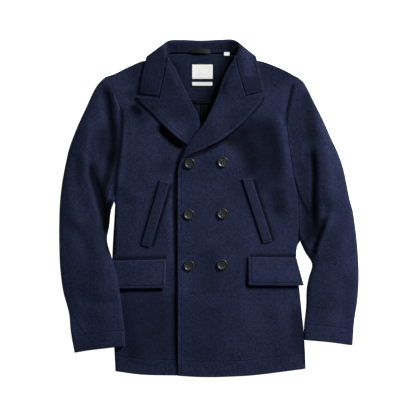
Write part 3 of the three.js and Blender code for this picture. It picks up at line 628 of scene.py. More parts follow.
def fullness(x, y):
    """The room that the laid body keeps inside: none at its side seams, and all of it at the armholes."""
    armpit = np.where(x < NECK_X, RIGHT_ARMPIT, LEFT_ARMPIT)
    seam = smoothstep(side_distance(x, y), 0, 60)
    seam = lerp(seam, 1, smoothstep(y, armpit - 10, armpit + 50))
    return armhole_height(y) * lerp(0.5, 1, smoothstep(y, -400, -330)) * seam


def at_sides(x, y):
    """From 0 at the side seams to 1 a little way in."""
    return smoothstep(side_distance(x, y), 0, 40)


def side_roll(x, y):
    """From 0 at the side seam, where the front bends down to the surface, to 1 a little way in. Above
    the armpit the front is sewn to the sleeve and doesn't bend."""
    right = lerp(quarter_bend(x - right_side(y), 8), 1, smoothstep(y, RIGHT_ARMPIT - 12, RIGHT_ARMPIT + 18))
    left = lerp(quarter_bend(left_side(y) - x, 8), 1, smoothstep(y, LEFT_ARMPIT - 12, LEFT_ARMPIT + 18))
    return right * left


def right_front_under(x, y):
    """The underside of the right front: the layers below it, rounded down at the side seam, and on them
    the room inside the body with the creases and a slow wander, which never goes below nothing."""
    folds = (creases(RIGHT_FRONT_CREASES, x, y) + unevenness(x, y, 95, 0.8, 0.7)) * at_sides(x, y)
    stack = back_top(x, y) + PLY + facing_raise(x, y)
    return stack * side_roll(x, y) + soft_max(fullness(x, y) + folds, 0) - 0.5


def right_front_top(x, y):
    return right_front_under(x, y) + CLOTH


def hem_ply(y_up):
    """The extra thickness of the turned-up hem."""
    return 1.4 * (1 - smoothstep(y_up, HEM_UP - 3, HEM_UP + 2))


def capsule_points(a, b, radius, sag=0.0):
    """A small thread bar from a to b as rings of six points, its ends drawn in."""
    a, b = np.asarray(a, float), np.asarray(b, float)
    way = (b - a) / np.linalg.norm(b - a)
    side = np.cross(way, [0, 0, 1.0])
    side /= np.linalg.norm(side) + 1e-9
    up = np.cross(side, way)
    turn = np.linspace(0, 2 * np.pi, 6, endpoint=False)
    rings = []
    for t, size in ((0.0, 0.35), (0.12, 0.9), (0.5, 1.0), (0.88, 0.9), (1.0, 0.35)):
        centre = a + (b - a) * t - up * sag * (2 * t - 1) ** 2
        rings.append(centre + radius * size * (np.cos(turn)[:, None] * side + np.sin(turn)[:, None] * up))
    return np.concatenate(rings)


def threads(name, bars):
    """One mesh of many thread bars, each five rings of six points with closed ends."""
    ids = np.arange(30).reshape(5, 6)
    after = np.roll(ids, -1, axis=1)
    one = np.stack([ids[:-1], after[:-1], after[1:], ids[1:]], -1).reshape(-1, 4).tolist()
    one += [list(ids[0][::-1]), list(ids[-1])]
    points, faces = [], []
    for k, bar in enumerate(bars):
        points.append(bar)
        faces += [[int(i) + 30 * k for i in face] for face in one]
    mesh = bpy.data.meshes.new(name)
    mesh.from_pydata((np.concatenate(points) * MM).tolist(), [], faces)
    mesh.polygons.foreach_set("use_smooth", np.ones(len(faces), bool))
    return mesh


def thread_finish(name, dark, light):
    """Sewing thread, a little smoother than the wool, its tone uneven along its twist."""
    material, shader, start = finish(name, {"Roughness": 0.7, "Specular IOR Level": 0.2})
    place = start.node("ShaderNodeTexCoord", output=3)
    twist = noise(place, 900, 2.0)
    connect(shader, Base_Color=blend_colours(twist, dark, light))
    return material


navy_thread = thread_finish("navy_thread", (0.014, 0.017, 0.042, 1), (0.026, 0.030, 0.070, 1))


def raised(points, height):
    """The points moved up by a height each."""
    return points + np.asarray(height)[..., None] * [0.0, 0.0, 1.0]


def crossing(points, field, axis, last=False):
    """The points where the field changes sign along each column (axis 0) or row (axis 1)."""
    if axis == 0:
        points, field = points.transpose(1, 0, 2), field.T
    found = []
    for place, value in zip(points, field):
        near = (np.abs(value[:-1]) < 12) & (np.abs(value[1:]) < 12)
        hits = np.flatnonzero((value[:-1] * value[1:] <= 0) & near)
        if len(hits):
            k = hits[-1 if last else 0]
            found.append(lerp(place[k], place[k + 1], value[k] / (value[k] - value[k + 1] + 1e-9)))
    return np.array(found)


def stitch_row(name, line):
    """A row of stitches: short bars of thread along the line, their ends sunk in the cloth."""
    total = np.linalg.norm(np.diff(line, axis=0), axis=1).sum()
    starts = np.arange(0, total - STITCH_LENGTH, STITCH_PITCH)
    way = through(line)
    bars = [capsule_points(a, b, STITCH_RADIUS, 0.4)
            for a, b in zip(way(starts / total), way((starts + STITCH_LENGTH) / total))]
    return piece(threads(name, bars), navy_thread, "navy_wool")


hem_line = through([[right_side(-396), -396], *RIGHT_HEM, [65, -407]])
shoulder_line = through([[right_side(SHOULDER_Y), SHOULDER_Y], *RIGHT_SHOULDER,
                         [across(UNDER_EDGE, NECK_Y), NECK_Y]])
plan = patch(side_edge(RIGHT_SIDE, -396, SHOULDER_Y), side_edge(UNDER_EDGE, -407, NECK_Y),
             hem_line, shoulder_line, 4.0)[0]
x, y = plan[..., 0], plan[..., 1]
hem_off = from_line(plan, hem_line(np.linspace(0, 1, 40)))[0]
thickness = CLOTH + hem_ply(hem_off) * smoothstep(x - right_side(y), 2, 12)
middle = np.dstack([x, y, right_front_under(x, y) + thickness / 2])
front_right = wool_sheet("front_right", middle, thickness, lines=[hem_off - HEM_UP], rim=hem_off,
                         shade=creases(RIGHT_FRONT_SHADE, x, y))
upper = raised(middle, thickness / 2)
hem_stitches = stitch_row("thread_hem_right", crossing(upper, np.where(x < -84, hem_off - HEM_UP, FAR), 0))
laid_cloth(front_right, middle, ["wool_back_right", "wool_back_left"], [hem_stitches])

# The left front: the panel that laps over the right one and carries the six buttons. Its front edge and
# hem are stitched, and its lapel is turned back above the break.
LAPEL_CLOTH = 3.6
TURNED = 0.8
EDGE_STITCH = 8.5
OVER_EDGE = [[-406, -76.5], [84, -76.5], [105, -74], [127, -64], [150, -54], [182, -32], [205, -13], [234, 3],
             [276, 21], [309, 32], [341, 47], [362, 59.5], [376, 64.5]]
LEFT_HEM = [[-27, -409], [28, -409], [110, -405], [179, -397]]
LEFT_SHOULDER = [[88, 367.5], [109, 361.5], [128, 359], [165, 346], [197, 331]]
CROSSING = np.array([[-30.0, 178.0], [-22.0, 158.0]])
LEFT_FRONT_CREASES = [
    ([[82, 200], [78, 165], [90, 130]], 18, 26, 20, -4.0),
    ([[128, 222], [140, 160], [150, 100], [150, 40]], 30, 26, 50, -5.5),
    ([[186, 300], [180, 220], [186, 150], [196, 80]], 14, 16, 60, 3.4),
    ([[210, 20], [180, 6], [140, 14]], 12, 15, 25, 2.0),
    ([[206, -20], [176, -40], [160, -48]], 9, 12, 20, -1.6),
    ([[176, -220], [184, -300], [190, -392]], 20, 24, 40, 2.6),
    ([[120, -200], [124, -300], [118, -395]], 22, 20, 50, -2.0),
    ([[60, -150], [70, -260], [64, -395]], 24, 28, 60, 1.6),
    ([[-30, -180], [-22, -300], [-18, -400]], 26, 26, 60, 1.6),
    ([[-62, 60], [-66, -60], [-62, -200]], 9, 12, 50, 0.8),
    ([[0, 70], [4, -60], [-6, -130]], 22, 22, 50, -1.4),
]
# Painted light and shade on the left front, in the same form: painted shadows under its lapel, along the
# armhole and side and round its flap and welt, painted shade in its hollows and painted light in a few strips
LEFT_FRONT_SHADE = [
    ([[-20, 140], [22, 163], [60, 191], [85, 214], [105, 235], [123, 256], [134, 280]], 5, 6, 12, -1.7),
    ([[34, 156], [66, 176], [94, 200], [116, 232]], 14, 18, 24, -0.9),
    ([[124, 244], [148, 186], [157, 110], [157, 30]], 20, 34, 60, -1.4),
    ([[120, 90], [128, 30]], 18, 18, 16, -0.6),
    ([[4, 134], [10, 92]], 20, 20, 16, -0.6),
    ([[218, -95], [227, -200], [235, -385]], 8, 6, 20, -2.1),
    ([[0, -220], [0, -390]], 34, 34, 30, -0.4),
    ([[104, 232], [112, 160], [124, 80]], 28, 30, 50, -0.9),
    ([[104, 345], [160, 330], [196, 300]], 40, 40, 30, -0.9),
    ([[168, 240], [184, 182], [193, 120], [200, 60]], 8, 7, 30, 0.5),
    ([[202, 286], [196, 262], [190, 235], [189, 200]], 4, 4, 14, -1.6),
    ([[164, 60], [172, 20], [178, -30]], 18, 18, 24, -1.0),
    ([[24, 160], [54, 172], [84, 146], [100, 112], [118, 74]], 22, 20, 24, -1.4),
    ([[70, 120], [100, 40], [110, -40]], 60, 50, 60, -0.3),
    ([[0, -80], [6, -220]], 24, 24, 30, -0.6),
    ([[-58, -110], [-58, -220]], 13, 13, 20, 0.5),
    ([[150, 56], [166, 20], [170, -10]], 14, 14, 14, -0.5),
    ([[214, -225], [214, -370]], 16, 20, 30, -0.9),
    ([[96, -113], [215, -115]], 4, 4, 5, -1.8),
    ([[92, -190], [232, -191]], 6, 5, 5, -2.6),
    ([[92, -116], [92, -190]], 4, 5, 5, -2.0),
    ([[129, -87], [77, 72]], 3, 4, 5, -1.6),
    ([[157, -80], [107.5, 73]], 4, 4, 5, -2.4),
    ([[-70, 84], [-70, -395]], 4, 4, 10, 0.5),
    ([[-60, 122], [-29, 133], [14, 153], [48, 177]], 5, 4.5, 10, -2.4),
]


def left_front_under(x, y):
    """The underside of the left front. Clear of the right front it lies as that one does. Where it laps
    over, it lies on the right front and on the lapels' crossing, and eases from one to the other."""
    plan = np.stack(np.broadcast_arrays(x, y), -1).astype(float)
    lap = 1 - smoothstep(x - across(UNDER_EDGE, y), 8, 92)
    crossing = 1 - smoothstep(from_line(plan, CROSSING)[0], 38, 104)
    folds = creases(LEFT_FRONT_CREASES, x, y) + unevenness(x, y, 90, 0.8, 2.1)
    alone = (back_top(x, y) + PLY + facing_raise(x, y)) * side_roll(x, y)
    alone = alone + soft_max(fullness(x, y) + folds * at_sides(x, y), 0) - 0.5
    lapped = right_front_top(x, y) + PLY + crossing * (LAPEL_CLOTH + TURNED + 0.2)
    lapped = lapped + soft_max(folds + 0.6, 0) - 0.3
    return np.where(lap > 0, lerp(alone, np.maximum(lapped, alone), lap), alone)


def left_front_top(x, y):
    return left_front_under(x, y) + CLOTH


hem_line = through([[-76.5, -406], *LEFT_HEM, [left_side(-390), -390]])
shoulder_line = through([[across(OVER_EDGE, NECK_Y), NECK_Y], *LEFT_SHOULDER,
                         [left_side(SHOULDER_Y), SHOULDER_Y]])
plan = patch(side_edge(OVER_EDGE, -406, NECK_Y), side_edge(LEFT_SIDE, -390, SHOULDER_Y),
             hem_line, shoulder_line, 4.0)[0]
x, y = plan[..., 0], plan[..., 1]
hem_off = from_line(plan, hem_line(np.linspace(0, 1, 40)))[0]
front_off = x - across(OVER_EDGE, y)
thickness = CLOTH + hem_ply(hem_off) * smoothstep(left_side(y) - x, 2, 12)
middle = np.dstack([x, y, left_front_under(x, y) + thickness / 2])
front_left = wool_sheet("front_left", middle, thickness,
                        lines=[np.where(x > -69, hem_off - HEM_UP, FAR),
                               np.where(y < 140, front_off - EDGE_STITCH, FAR)],
                        rim=np.minimum(hem_off, front_off), shade=creases(LEFT_FRONT_SHADE, x, y))
upper = raised(middle, thickness / 2)
hem_stitches = stitch_row("thread_hem_left", crossing(upper, np.where(x > -72, hem_off - HEM_UP, FAR), 0))
edge_stitches = stitch_row("thread_front_edge", crossing(
    upper, np.where((y < 112) & (y > -367), front_off - EDGE_STITCH, FAR), 1))
laid_cloth(front_left, middle, ["wool_front_right", "wool_back_left"], [hem_stitches, edge_stitches])

# The lapels: the upper fronts turned back on themselves along the roll line, two layers thick, with a
# soft roll and a row of stitches 8.5 mm in from the outer edge. They lie on their own fronts.
LAPEL_OVERHANG = 2.0
ROLL_DROP = 3.7
# Each row: how far up the roll line it starts, and the X and Y of the outer edge where it ends
RIGHT_LAPEL = [[148, 0, 147], [158, -28, 149], [169, -53, 156], [180, -71, 168], [192, -94, 188],
               [203, -112, 205], [213, -137, 232], [223, -159, 252], [232, -177, 271.5],
               [258, -121.2, 268], [284, -116, 292], [308, -110.9, 316], [333, -105.7, 340],
               [356, -102.8, 355], [372, -101.2, 373]]
LEFT_LAPEL = [[116, -66, 119], [130, -47, 131], [145, -20, 142], [160, 1, 153], [174, 22, 163],
              [187, 41, 177], [198, 60, 191], [206, 85, 214], [214, 105, 235], [222, 123, 256],
              [230, 133.5, 279], [258, 89.3, 271.3], [284, 82, 296], [307, 76.2, 316], [331, 70, 337],
              [356, 65.2, 355.5], [371, 65.4, 371]]
RIGHT_LAPEL_LIFT = [([[-24, 142], [-60, 158], [-98, 188], [-120, 212]], 20, 20, 30, 6.5),
                    ([[-60, 290], [-84, 330], [-96, 365]], 22, 22, 30, 3.0)]
LEFT_LAPEL_LIFT = [([[-30, 132], [20, 158], [70, 196], [136, 282]], 16, 16, 30, 1.8),
                   ([[20, 280], [44, 320], [66, 365]], 24, 24, 30, 5.0)]


def lapel(side, table, edge, overhang, tip_row, front_top, lift, shade):
    """A ruled surface: each section runs straight from the roll line to the outer edge. It lies on its
    front, with a soft puff beside the roll and a lift along its own creases, and the roll bends down
    round the front's own edge in a quarter circle."""
    table = np.asarray(table, float)
    rows = []
    for first, last in ((0, tip_row), (tip_row, tip_row + 1), (tip_row + 1, len(table) - 1)):
        part = table[first:last + 1]
        count = max(int(np.linalg.norm(np.diff(part[:, 1:], axis=0), axis=1).sum() / 2.5), 3)
        rows.append(spline(part, np.linspace(0, 1, count))[(1 if rows else 0):])
    rows = np.concatenate(rows)
    roll = np.stack([across(edge, rows[:, 0]) + overhang, rows[:, 0]], -1)
    outer = rows[:, 1:]
    u = spaced(np.maximum(np.linalg.norm(outer - roll, axis=1), 12), 3.0)
    plan = roll[:, None] + (outer - roll)[:, None] * u[..., None]
    rightward = outer[len(outer) // 2, 0] > roll[len(outer) // 2, 0]
    if not rightward:
        plan = plan[:, ::-1]
    x, y = plan[..., 0], plan[..., 1]
    roll_off = from_line(plan, roll)[0]
    notch = int(np.argmin(np.hypot(*(outer - table[tip_row + 1, 1:]).T)))
    outer_off = from_line(plan, outer[:notch + 1])[0]
    drop = ROLL_DROP * (1 - quarter_bend(roll_off, ROLL_DROP))
    puff = 1.6 * smoothstep(roll_off, 2, 14) * (1 - smoothstep(roll_off, 14, 60))
    rise = creases(lift, x, y) * smoothstep(roll_off, 4, 20)
    under = front_top(x, y) + TURNED + puff + rise - drop
    middle = np.dstack([x, y, under + LAPEL_CLOTH / 2])
    stitch_off = np.where(np.arange(len(plan))[:, None] < notch + 2, outer_off - EDGE_STITCH, FAR)
    # Each lapel is painted 0.6 of a stop darker as painted shade, under its strokes of painted light
    thing = wool_sheet(f"lapel_{side}", middle, LAPEL_CLOTH, lines=[stitch_off],
                       shade=creases(shade, x, y) - 0.6)
    line = crossing(raised(middle, LAPEL_CLOTH / 2), stitch_off, 1, last=rightward)
    stitches = stitch_row(f"thread_lapel_{side}", line)
    laid_cloth(thing, middle, [f"wool_front_{side}"], [stitches], boxed=True)


# Painted highlights on the lapels, in the same form: along their outer edges and over part of each lapel
RIGHT_LAPEL_SHADE = [([[-60, 172], [-96, 204], [-130, 240]], 18, 18, 14, 0.6),
                     ([[-48, 186], [-66, 230]], 14, 14, 12, 0.5),
                     ([[-64, 162], [-97, 189], [-124, 214], [-150, 241], [-172, 262]], 4, 4, 8, 0.6)]
LEFT_LAPEL_SHADE = [([[10, 200], [40, 250], [90, 250]], 24, 24, 20, 0.3),
                    ([[-20, 146], [21, 165], [70, 202], [103, 236], [131, 276]], 4, 4, 8, 0.4)]
lapel("right", RIGHT_LAPEL, UNDER_EDGE, LAPEL_OVERHANG, 8, right_front_top, RIGHT_LAPEL_LIFT,
      RIGHT_LAPEL_SHADE)
lapel("left", LEFT_LAPEL, OVER_EDGE, -LAPEL_OVERHANG, 10, left_front_top, LEFT_LAPEL_LIFT,
      LEFT_LAPEL_SHADE)

# The collar: one strip of wool, faced, round the neck. It stands up from the neck seam, turns over
# the roll and falls on the fronts, and behind the neck the fall lies under the back.
ROLL_RADIUS = 3.6
STAND_LOW = 6.8
# Each section: its neck seam, its roll, its free edge, and how far the fall wraps under the back
COLLAR = [
    [[-122, 274.5], [-126, 275], [-170, 281], 0],
    [[-115.2, 304], [-119, 304], [-165.5, 309], 0],
    [[-107.5, 332], [-111.5, 332], [-161, 334], 0],
    [[-105.6, 353], [-109.5, 355], [-157, 350], 0],
    [[-105.6, 368], [-109, 377], [-154, 361], 0],
    [[-100, 378], [-107.5, 400], [-152, 369], 0.4],
    [[-82, 381], [-97, 409], [-148, 370], 0.8],
    [[-58, 380.5], [-66, 410.5], [-98, 338], 1],
    [[-18, 379.5], [-18, 409], [-18, 326], 1],
    [[22, 380], [28, 411], [64, 338], 1],
    [[45, 381], [58, 411], [110, 366], 0.8],
    [[60, 378], [71, 402], [113, 370], 0.4],
    [[66, 368], [71, 376], [116, 362], 0],
    [[67.2, 354], [71, 356], [119, 351], 0],
    [[73, 331], [77, 331], [122.5, 335], 0],
    [[81.1, 304], [85, 304], [127, 311], 0],
    [[89.5, 276], [93.5, 277], [130.8, 286.5], 0],
]


def on_coat(x, y):
    """The middle of the collar's fall where it lies on the front of its side."""
    return np.where(x < NECK_X, right_front_top(x, y), left_front_top(x, y)) + TURNED + COLLAR_CLOTH / 2


def collar_section(seam, roll, edge, wrap):
    """Eight points from the neck seam up the stand, over the roll and down the fall."""
    seam, roll, edge = (np.asarray(p, float) for p in (seam, roll, edge))

    def toward(to):
        return lerp(roll, to, min(ROLL_RADIUS / np.linalg.norm(to - roll), 0.45))
    plan = np.stack([seam, (seam + roll) / 2, toward(seam), roll, toward(edge), lerp(roll, edge, 0.35),
                     lerp(roll, edge, 0.7), edge])
    stand = np.array([1, 1, 1, 0.5, 0, 0, 0, 0])
    x, y = plan.T
    half = COLLAR_CLOTH / 2
    inside = STAND_LOW + (2 * ROLL_RADIUS - STAND_LOW + half) * smoothstep(y, 380, 402)
    outside = lerp(on_coat(x, y), half, smoothstep(wrap, 0.05, 0.95))
    return np.column_stack([plan, lerp(outside, inside, stand * smoothstep(wrap, 0, 0.3))])


sections = np.stack([collar_section(*row) for row in COLLAR])
strip_length = np.linalg.norm(np.diff(sections[:, 3], axis=0), axis=1).sum()
along = spline(sections, spaced(strip_length, 4.0)[0])
middle = spline(along.transpose(1, 0, 2), spaced(62, 2.2)[0]).transpose(1, 0, 2)
middle[..., 2] = np.maximum(middle[..., 2], COLLAR_CLOTH / 2)
fall_off = run_along(middle[:, ::-1], 1)[:, ::-1]
end_run = run_along(middle, 0)
end_off = np.minimum(end_run, end_run[-1:] - end_run)
# Painted light and shade on the collar, in the same form: a painted shadow inside the neck on the wearer's
# left, painted highlights on the fall and along the roll, and painted shade in three small folds of the stand
COLLAR_SHADE = [([[54, 410], [60, 376]], 12, 13, 6, -2.8),
                ([[88, 396], [96, 316]], 20, 14, 10, 1.1),
                ([[-122, 394], [-98, 406]], 10, 10, 6, 0.8),
                ([[-104, 408], [-66, 409], [-18, 408], [28, 409], [60, 408]], 5, 5, 10, 0.6),
                ([[-84, 403], [-82, 384]], 4, 4, 4, -1.0),
                ([[-67, 405], [-66, 386]], 3.5, 3.5, 4, -0.8),
                ([[28, 404], [30, 386]], 4, 4, 4, -0.9)]
stitch_off = np.minimum(fall_off, end_off) - EDGE_STITCH
# The whole collar is painted three quarters of a stop darker, as painted shade
collar = wool_sheet("collar", middle, COLLAR_CLOTH, square=True, lines=[stitch_off],
                    shade=creases(COLLAR_SHADE, middle[..., 0], middle[..., 1]) - 0.75)
upper = raised(middle, COLLAR_CLOTH / 2)
sewn_rows = []
for side, rows in (("right", slice(None, len(middle) // 2)), ("left", slice(-1, len(middle) // 2, -1))):
    seen = np.where(middle[..., 1] < 366, stitch_off, FAR)[rows]
    fall = seen.shape[1] // 2
    line = np.concatenate([crossing(upper[rows, fall:], seen[:, fall:], 0),
                           crossing(upper[rows, fall:], seen[:, fall:], 1, last=True)])
    sewn_rows.append(stitch_row(f"thread_collar_{side}", line))
laid_cloth(collar, middle, ["wool_front_right", "wool_front_left"], sewn_rows)

# The sleeves: each a tube of two panels, set in at the armhole and laid beside the body. The top panel
# bends down to the surface along both folds, and the under panel lies flat inside it.
SLEEVE_FULLNESS = 13.5
CUFF_FULLNESS = 3.0
CUFF_UP = 40.0
SLEEVE_BEND = 7
UNDER_INSET = 5.0
RIGHT_OUTER = [[-351, -328.5], [-299, -338], [-254, -342.5], [-201, -356.5], [-149, -363.5],
               [-112, -365.5], [-51, -366.5], [14, -364.5], [67, -358.5], [117, -349], [150, -341],
               [200, -322], [248, -300], [287, -282], [305, -270.5], [321, -255]]
RIGHT_INNER = [[-333, -203], [-266, -209], [-195, -218], [-153, -226], [-117, -236.5], [-76, -248],
               [-42, -243], [-5, -239], [23, -230]]
LEFT_OUTER = [[-333, 350], [-274, 354.5], [-224, 362], [-162, 365.5], [-86, 361.5], [-8, 351.5],
              [22, 343.5], [95, 328.5], [134, 315.5], [172, 298], [213, 280], [267, 253], [309, 231],
              [323, 214]]
LEFT_INNER = [[-320, 232.5], [-295, 231], [-238, 236.5], [-195, 238], [-168, 243], [-135, 251],
              [-105, 234], [-75, 220]]
RIGHT_SEAMS = [[[-231, 80], [-246, 38], [-260, -3]], [[-337, -250], [-320, -278], [-301, -305]]]
LEFT_SEAMS = [[[206, 78], [224, 22], [245, -16]]]
RIGHT_CREASES = [
    ([[-256, 312], [-248, 250], [-243, 208], [-237, 145], [-240, 96]], 13, 12, 45, -9.0),
    ([[-234, 306], [-224, 262], [-219, 220], [-222, 160]], 8, 7, 40, 3.5),
    ([[-285, 230], [-298, 160], [-298, 116], [-292, 72], [-277, 17], [-262, -33], [-250, -72]],
     6, 30, 50, 2.6),
    ([[-280, 84], [-270, 46], [-258, 10], [-248, -34]], 9, 7, 25, -6.5),
    ([[-231, 92], [-238, 50], [-250, 16], [-262, -10]], 6, 7, 25, 3.0),
    ([[-322, 150], [-326, 90], [-318, 20]], 12, 16, 50, -3.0),
    ([[-350, 60], [-336, 0], [-300, -70]], 16, 20, 45, 3.0),
    ([[-352, -30], [-318, -60], [-284, -130]], 14, 18, 45, -3.2),
    ([[-310, -110], [-290, -200], [-262, -310]], 34, 34, 60, 2.6),
]
LEFT_CREASES = [
    ([[238, 172], [244, 130], [248, 85], [247, 34], [250, -14], [254, -60]], 12, 12, 60, -9.0),
    ([[262, 232], [282, 150], [290, 60], [286, 0]], 16, 20, 50, 5.5),
    ([[286, -18], [270, -70], [252, -126]], 9, 15, 30, 5.6),
    ([[290, 22], [282, -6], [276, -30]], 8, 9, 22, -4.0),
    ([[280, -20], [268, -56], [254, -92], [248, -118]], 5, 9, 20, -6.0),
    ([[346, -40], [322, -90], [300, -150]], 16, 20, 50, 3.4),
    ([[340, 10], [318, -30], [300, -60]], 12, 14, 40, -3.0),
    ([[300, -140], [296, -220], [284, -310]], 24, 24, 60, 3.0),
    ([[334, -150], [330, -230], [322, -310]], 12, 14, 50, -2.4),
]
# Painted light and shade on the sleeves, in the same form: painted shade in their troughs and folds and along
# the armholes and seams, and painted highlights on some ridges
RIGHT_SLEEVE_SHADE = [
    ([[-254, 308], [-246, 270], [-236, 208], [-233, 147], [-238, 95]], 9, 11, 30, -2.2),
    ([[-256, 215], [-252, 110]], 14, 12, 30, -1.2),
    ([[-318, -180], [-300, -320]], 34, 30, 50, 0.5),
    ([[-228, 290], [-219, 240], [-218, 200]], 4, 4, 20, 0.5),
    (RIGHT_ARMHOLE, 4, 6, 14, -2.6),
    ([[-290, 118], [-284, 72], [-269, 17], [-254, -33], [-244, -66]], 14, 3.5, 22, -2.5),
    ([[-236, 150], [-243, 92], [-256, 44], [-254, 0], [-246, -50], [-240, -115]], 8, 9, 24, -2.3),
    ([[-236, 24], [-247, -10], [-248, -58]], 5, 8, 10, -4.0),
    ([[-242, -40], [-240, -112]], 4, 4, 10, -2.5),
    ([[-238, 66], [-242, 30]], 4, 4, 10, 0.6),
    ([[-262, 318], [-258, 262]], 12, 12, 16, -0.6),
    ([[-356, 60], [-363, -60], [-360, -160], [-343, -240], [-332, -330]], 10, 14, 40, 0.6),
    ([[-313, 145], [-312, 70]], 11, 11, 25, -0.5),
    ([[-303, 170], [-298, 116], [-292, 72], [-277, 17], [-262, -33]], 4, 8, 40, 0.5),
]
LEFT_SLEEVE_SHADE = [
    ([[250, 168], [254, 120], [256, 83], [255, 34], [255, -15], [262, -70]], 9, 5, 50, -2.6),
    ([[206, 78], [224, 22], [245, -16]], 3.5, 3, 8, -1.9),
    ([[252, 20], [255, -30], [264, -80]], 14, 12, 20, -1.6),
    ([[238, 150], [237, 60], [238, -20], [242, -90]], 9, 9, 20, -1.2),
    ([[300, -10], [296, -130]], 36, 36, 40, -0.4),
    ([[262, 40], [262, -80]], 24, 24, 20, -0.5),
    ([[314, -230], [300, -330]], 40, 40, 40, 0.25),
    ([[238, 300], [246, 235], [253, 150]], 14, 18, 30, -1.3),
    ([[289, -14], [276, -51], [264, -83], [256, -115]], 3.5, 9, 14, -2.3),
    ([[207, 310], [196, 262], [190, 235], [189, 206]], 4.5, 3, 14, -2.2),
    ([[304, 0], [296, -30], [284, -60]], 8, 6, 14, 0.5),
]


def over_body(x, y):
    """The surface under the right sleeve, which lies on the body's edge and pocket flap low down."""
    side = right_side(y)
    flap = 5.05 * smoothstep(y, -232, -204) * (1 - smoothstep(y, -112, -86))
    height = right_front_top(np.maximum(x, side + 6), y) + 2 * PLY + flap + 1.2
    return height * smoothstep(x, side - 78, side - 8) * (1 - smoothstep(y, -90, 10))


def no_height(x, y):
    """The surface under the left sleeve, which lies clear of the body."""
    return np.zeros_like(x + y)


def sleeve(side, outer, inner, armpit, body, cuff, rest, table, shade, seam_paths):
    """The two panels of a sleeve. The top one rises from its folds in an arch, level with the front where
    it is sewn to it, and creases on that. The under one lies flat, 5 mm inside the top one."""
    rightward = side == "left"
    low_in, low_out, high_out = inner[0][0], outer[0][0], outer[-1][0]
    gap = 0.1 if rightward else -0.1

    def inner_at(y):
        return np.where(y > armpit, body(y) + gap, across(inner, y))

    def inner_edge(v):
        y = lerp(low_in, SHOULDER_Y, np.asarray(v, float))
        return np.stack([inner_at(y), y], -1)

    def outer_edge(v):
        y = lerp(low_out, high_out, np.asarray(v, float))
        return np.stack([across(outer, y), y], -1)
    ends = [inner_edge(0.0), *cuff, outer_edge(0.0)]
    tops = [inner_edge(1.0), outer_edge(1.0)]
    edges = (inner_edge, outer_edge) if rightward else (outer_edge, inner_edge)
    if not rightward:
        ends, tops = ends[::-1], tops[::-1]
    plan, _, v = patch(*edges, through(ends), through(tops), 3.5)
    x, y = plan[..., 0], plan[..., 1]
    from_left = run_along(plan, 1)
    from_right = from_left[:, -1:] - from_left
    outer_off = from_right if rightward else from_left
    inner_off = from_left if rightward else from_right
    sewn = smoothstep(y, armpit - 15, armpit + 25)
    bend = quarter_bend(outer_off, SLEEVE_BEND) * lerp(quarter_bend(inner_off, SLEEVE_BEND), 1, sewn)
    width = from_left[:, -1:]
    place = np.clip(outer_off / np.maximum(width, 1), 0, 1)
    arch = (1 - np.abs(2 * place - 1) ** 2.6) ** 0.62
    room = lerp(CUFF_FULLNESS, SLEEVE_FULLNESS, smoothstep(v, 0, 0.3)) * (1 - 0.35 * smoothstep(v, 0.8, 1))
    folds = creases(table, x, y) + unevenness(x, y, 70, 1.0, 1.1 if rightward else 2.9)
    level = lerp(armhole_height(y), room, smoothstep(inner_off, 0, 45))
    room = lerp(room * arch, level * np.where(place > 0.5, 1, arch), sewn)
    free = soft_max(room + folds * smoothstep(v, 0, 0.1) * arch, 0) - 0.5
    cuff_line = through(ends)(np.linspace(0, 1, 30))
    cuff_off = from_line(plan, cuff_line)[0]
    thickness = CLOTH + 1.2 * (1 - smoothstep(cuff_off, CUFF_UP - 3, CUFF_UP + 2))
    under = rest(x, y) + (CLOTH + PLY) * bend + free * bend
    middle = np.dstack([x, y, under + thickness / 2])
    lines = [cuff_off - CUFF_UP]
    for path in seam_paths:
        off, along, way, length = from_line(plan, through(path)(np.linspace(0, 1, 20)))
        beyond = (along < 0.01) | (along > length - 0.01)
        lines.append(np.where(beyond, FAR, off) * way)
    top = wool_sheet(f"sleeve_{side}_top", middle, thickness, lines=lines, rim=cuff_off,
                     shade=creases(shade, x, y))
    sewn_cuff = crossing(raised(middle, thickness / 2), cuff_off - CUFF_UP, 0)[3:-3]
    laid_cloth(top, middle, [f"wool_sleeve_{side}_under"],
               [stitch_row(f"thread_cuff_{side}", sewn_cuff)])

    rows = slice(2, None, 3)
    pick = np.linspace(0, 1, 24)
    lower = np.stack([np.stack([np.interp(pick * (w - 2 * UNDER_INSET) + UNDER_INSET, s, line[:, k])
                                for k in range(2)], -1)
                      for w, s, line in zip(width[rows, 0], from_left[rows], plan[rows])])
    middle = np.dstack([lower, rest(lower[..., 0], lower[..., 1]) + CLOTH / 2])
    laid_cloth(wool_sheet(f"sleeve_{side}_under", middle, CLOTH), middle, [])


sleeve("right", RIGHT_OUTER, RIGHT_INNER, RIGHT_ARMPIT, right_side, [[-243, -338], [-288, -344]], over_body,
       RIGHT_CREASES, RIGHT_SLEEVE_SHADE, RIGHT_SEAMS)
sleeve("left", LEFT_OUTER, LEFT_INNER, LEFT_ARMPIT, left_side, [[292, -325]], no_height,
       LEFT_CREASES, LEFT_SLEEVE_SHADE, LEFT_SEAMS)

# The pocket flaps and welts: faced wool. The flaps are sewn along their top edges and stand off the coat
# at their free edges, and the welts are sewn down and stitched across both ends.
FLAP_CLOTH = 3.4
FLAP_STITCH = 7.0
FLAP_LIFT = 3.4
WELT_STITCH = 6
FLAPS = {
    "right": ([[-236, -194], [-106, -192]], [[-235, -127], [-105, -123]]),
    "left": ([[95.6, -185], [231, -187]], [[95, -117], [213, -119]]),
}
WELTS = {
    "right": ([[-165.5, -88], [-142.5, -93.5]], [[-119.3, 70.5], [-95.8, 63.5]]),
    "left": ([[131.3, -84.5], [153.5, -79]], [[79.7, 73], [104, 73.7]]),
}


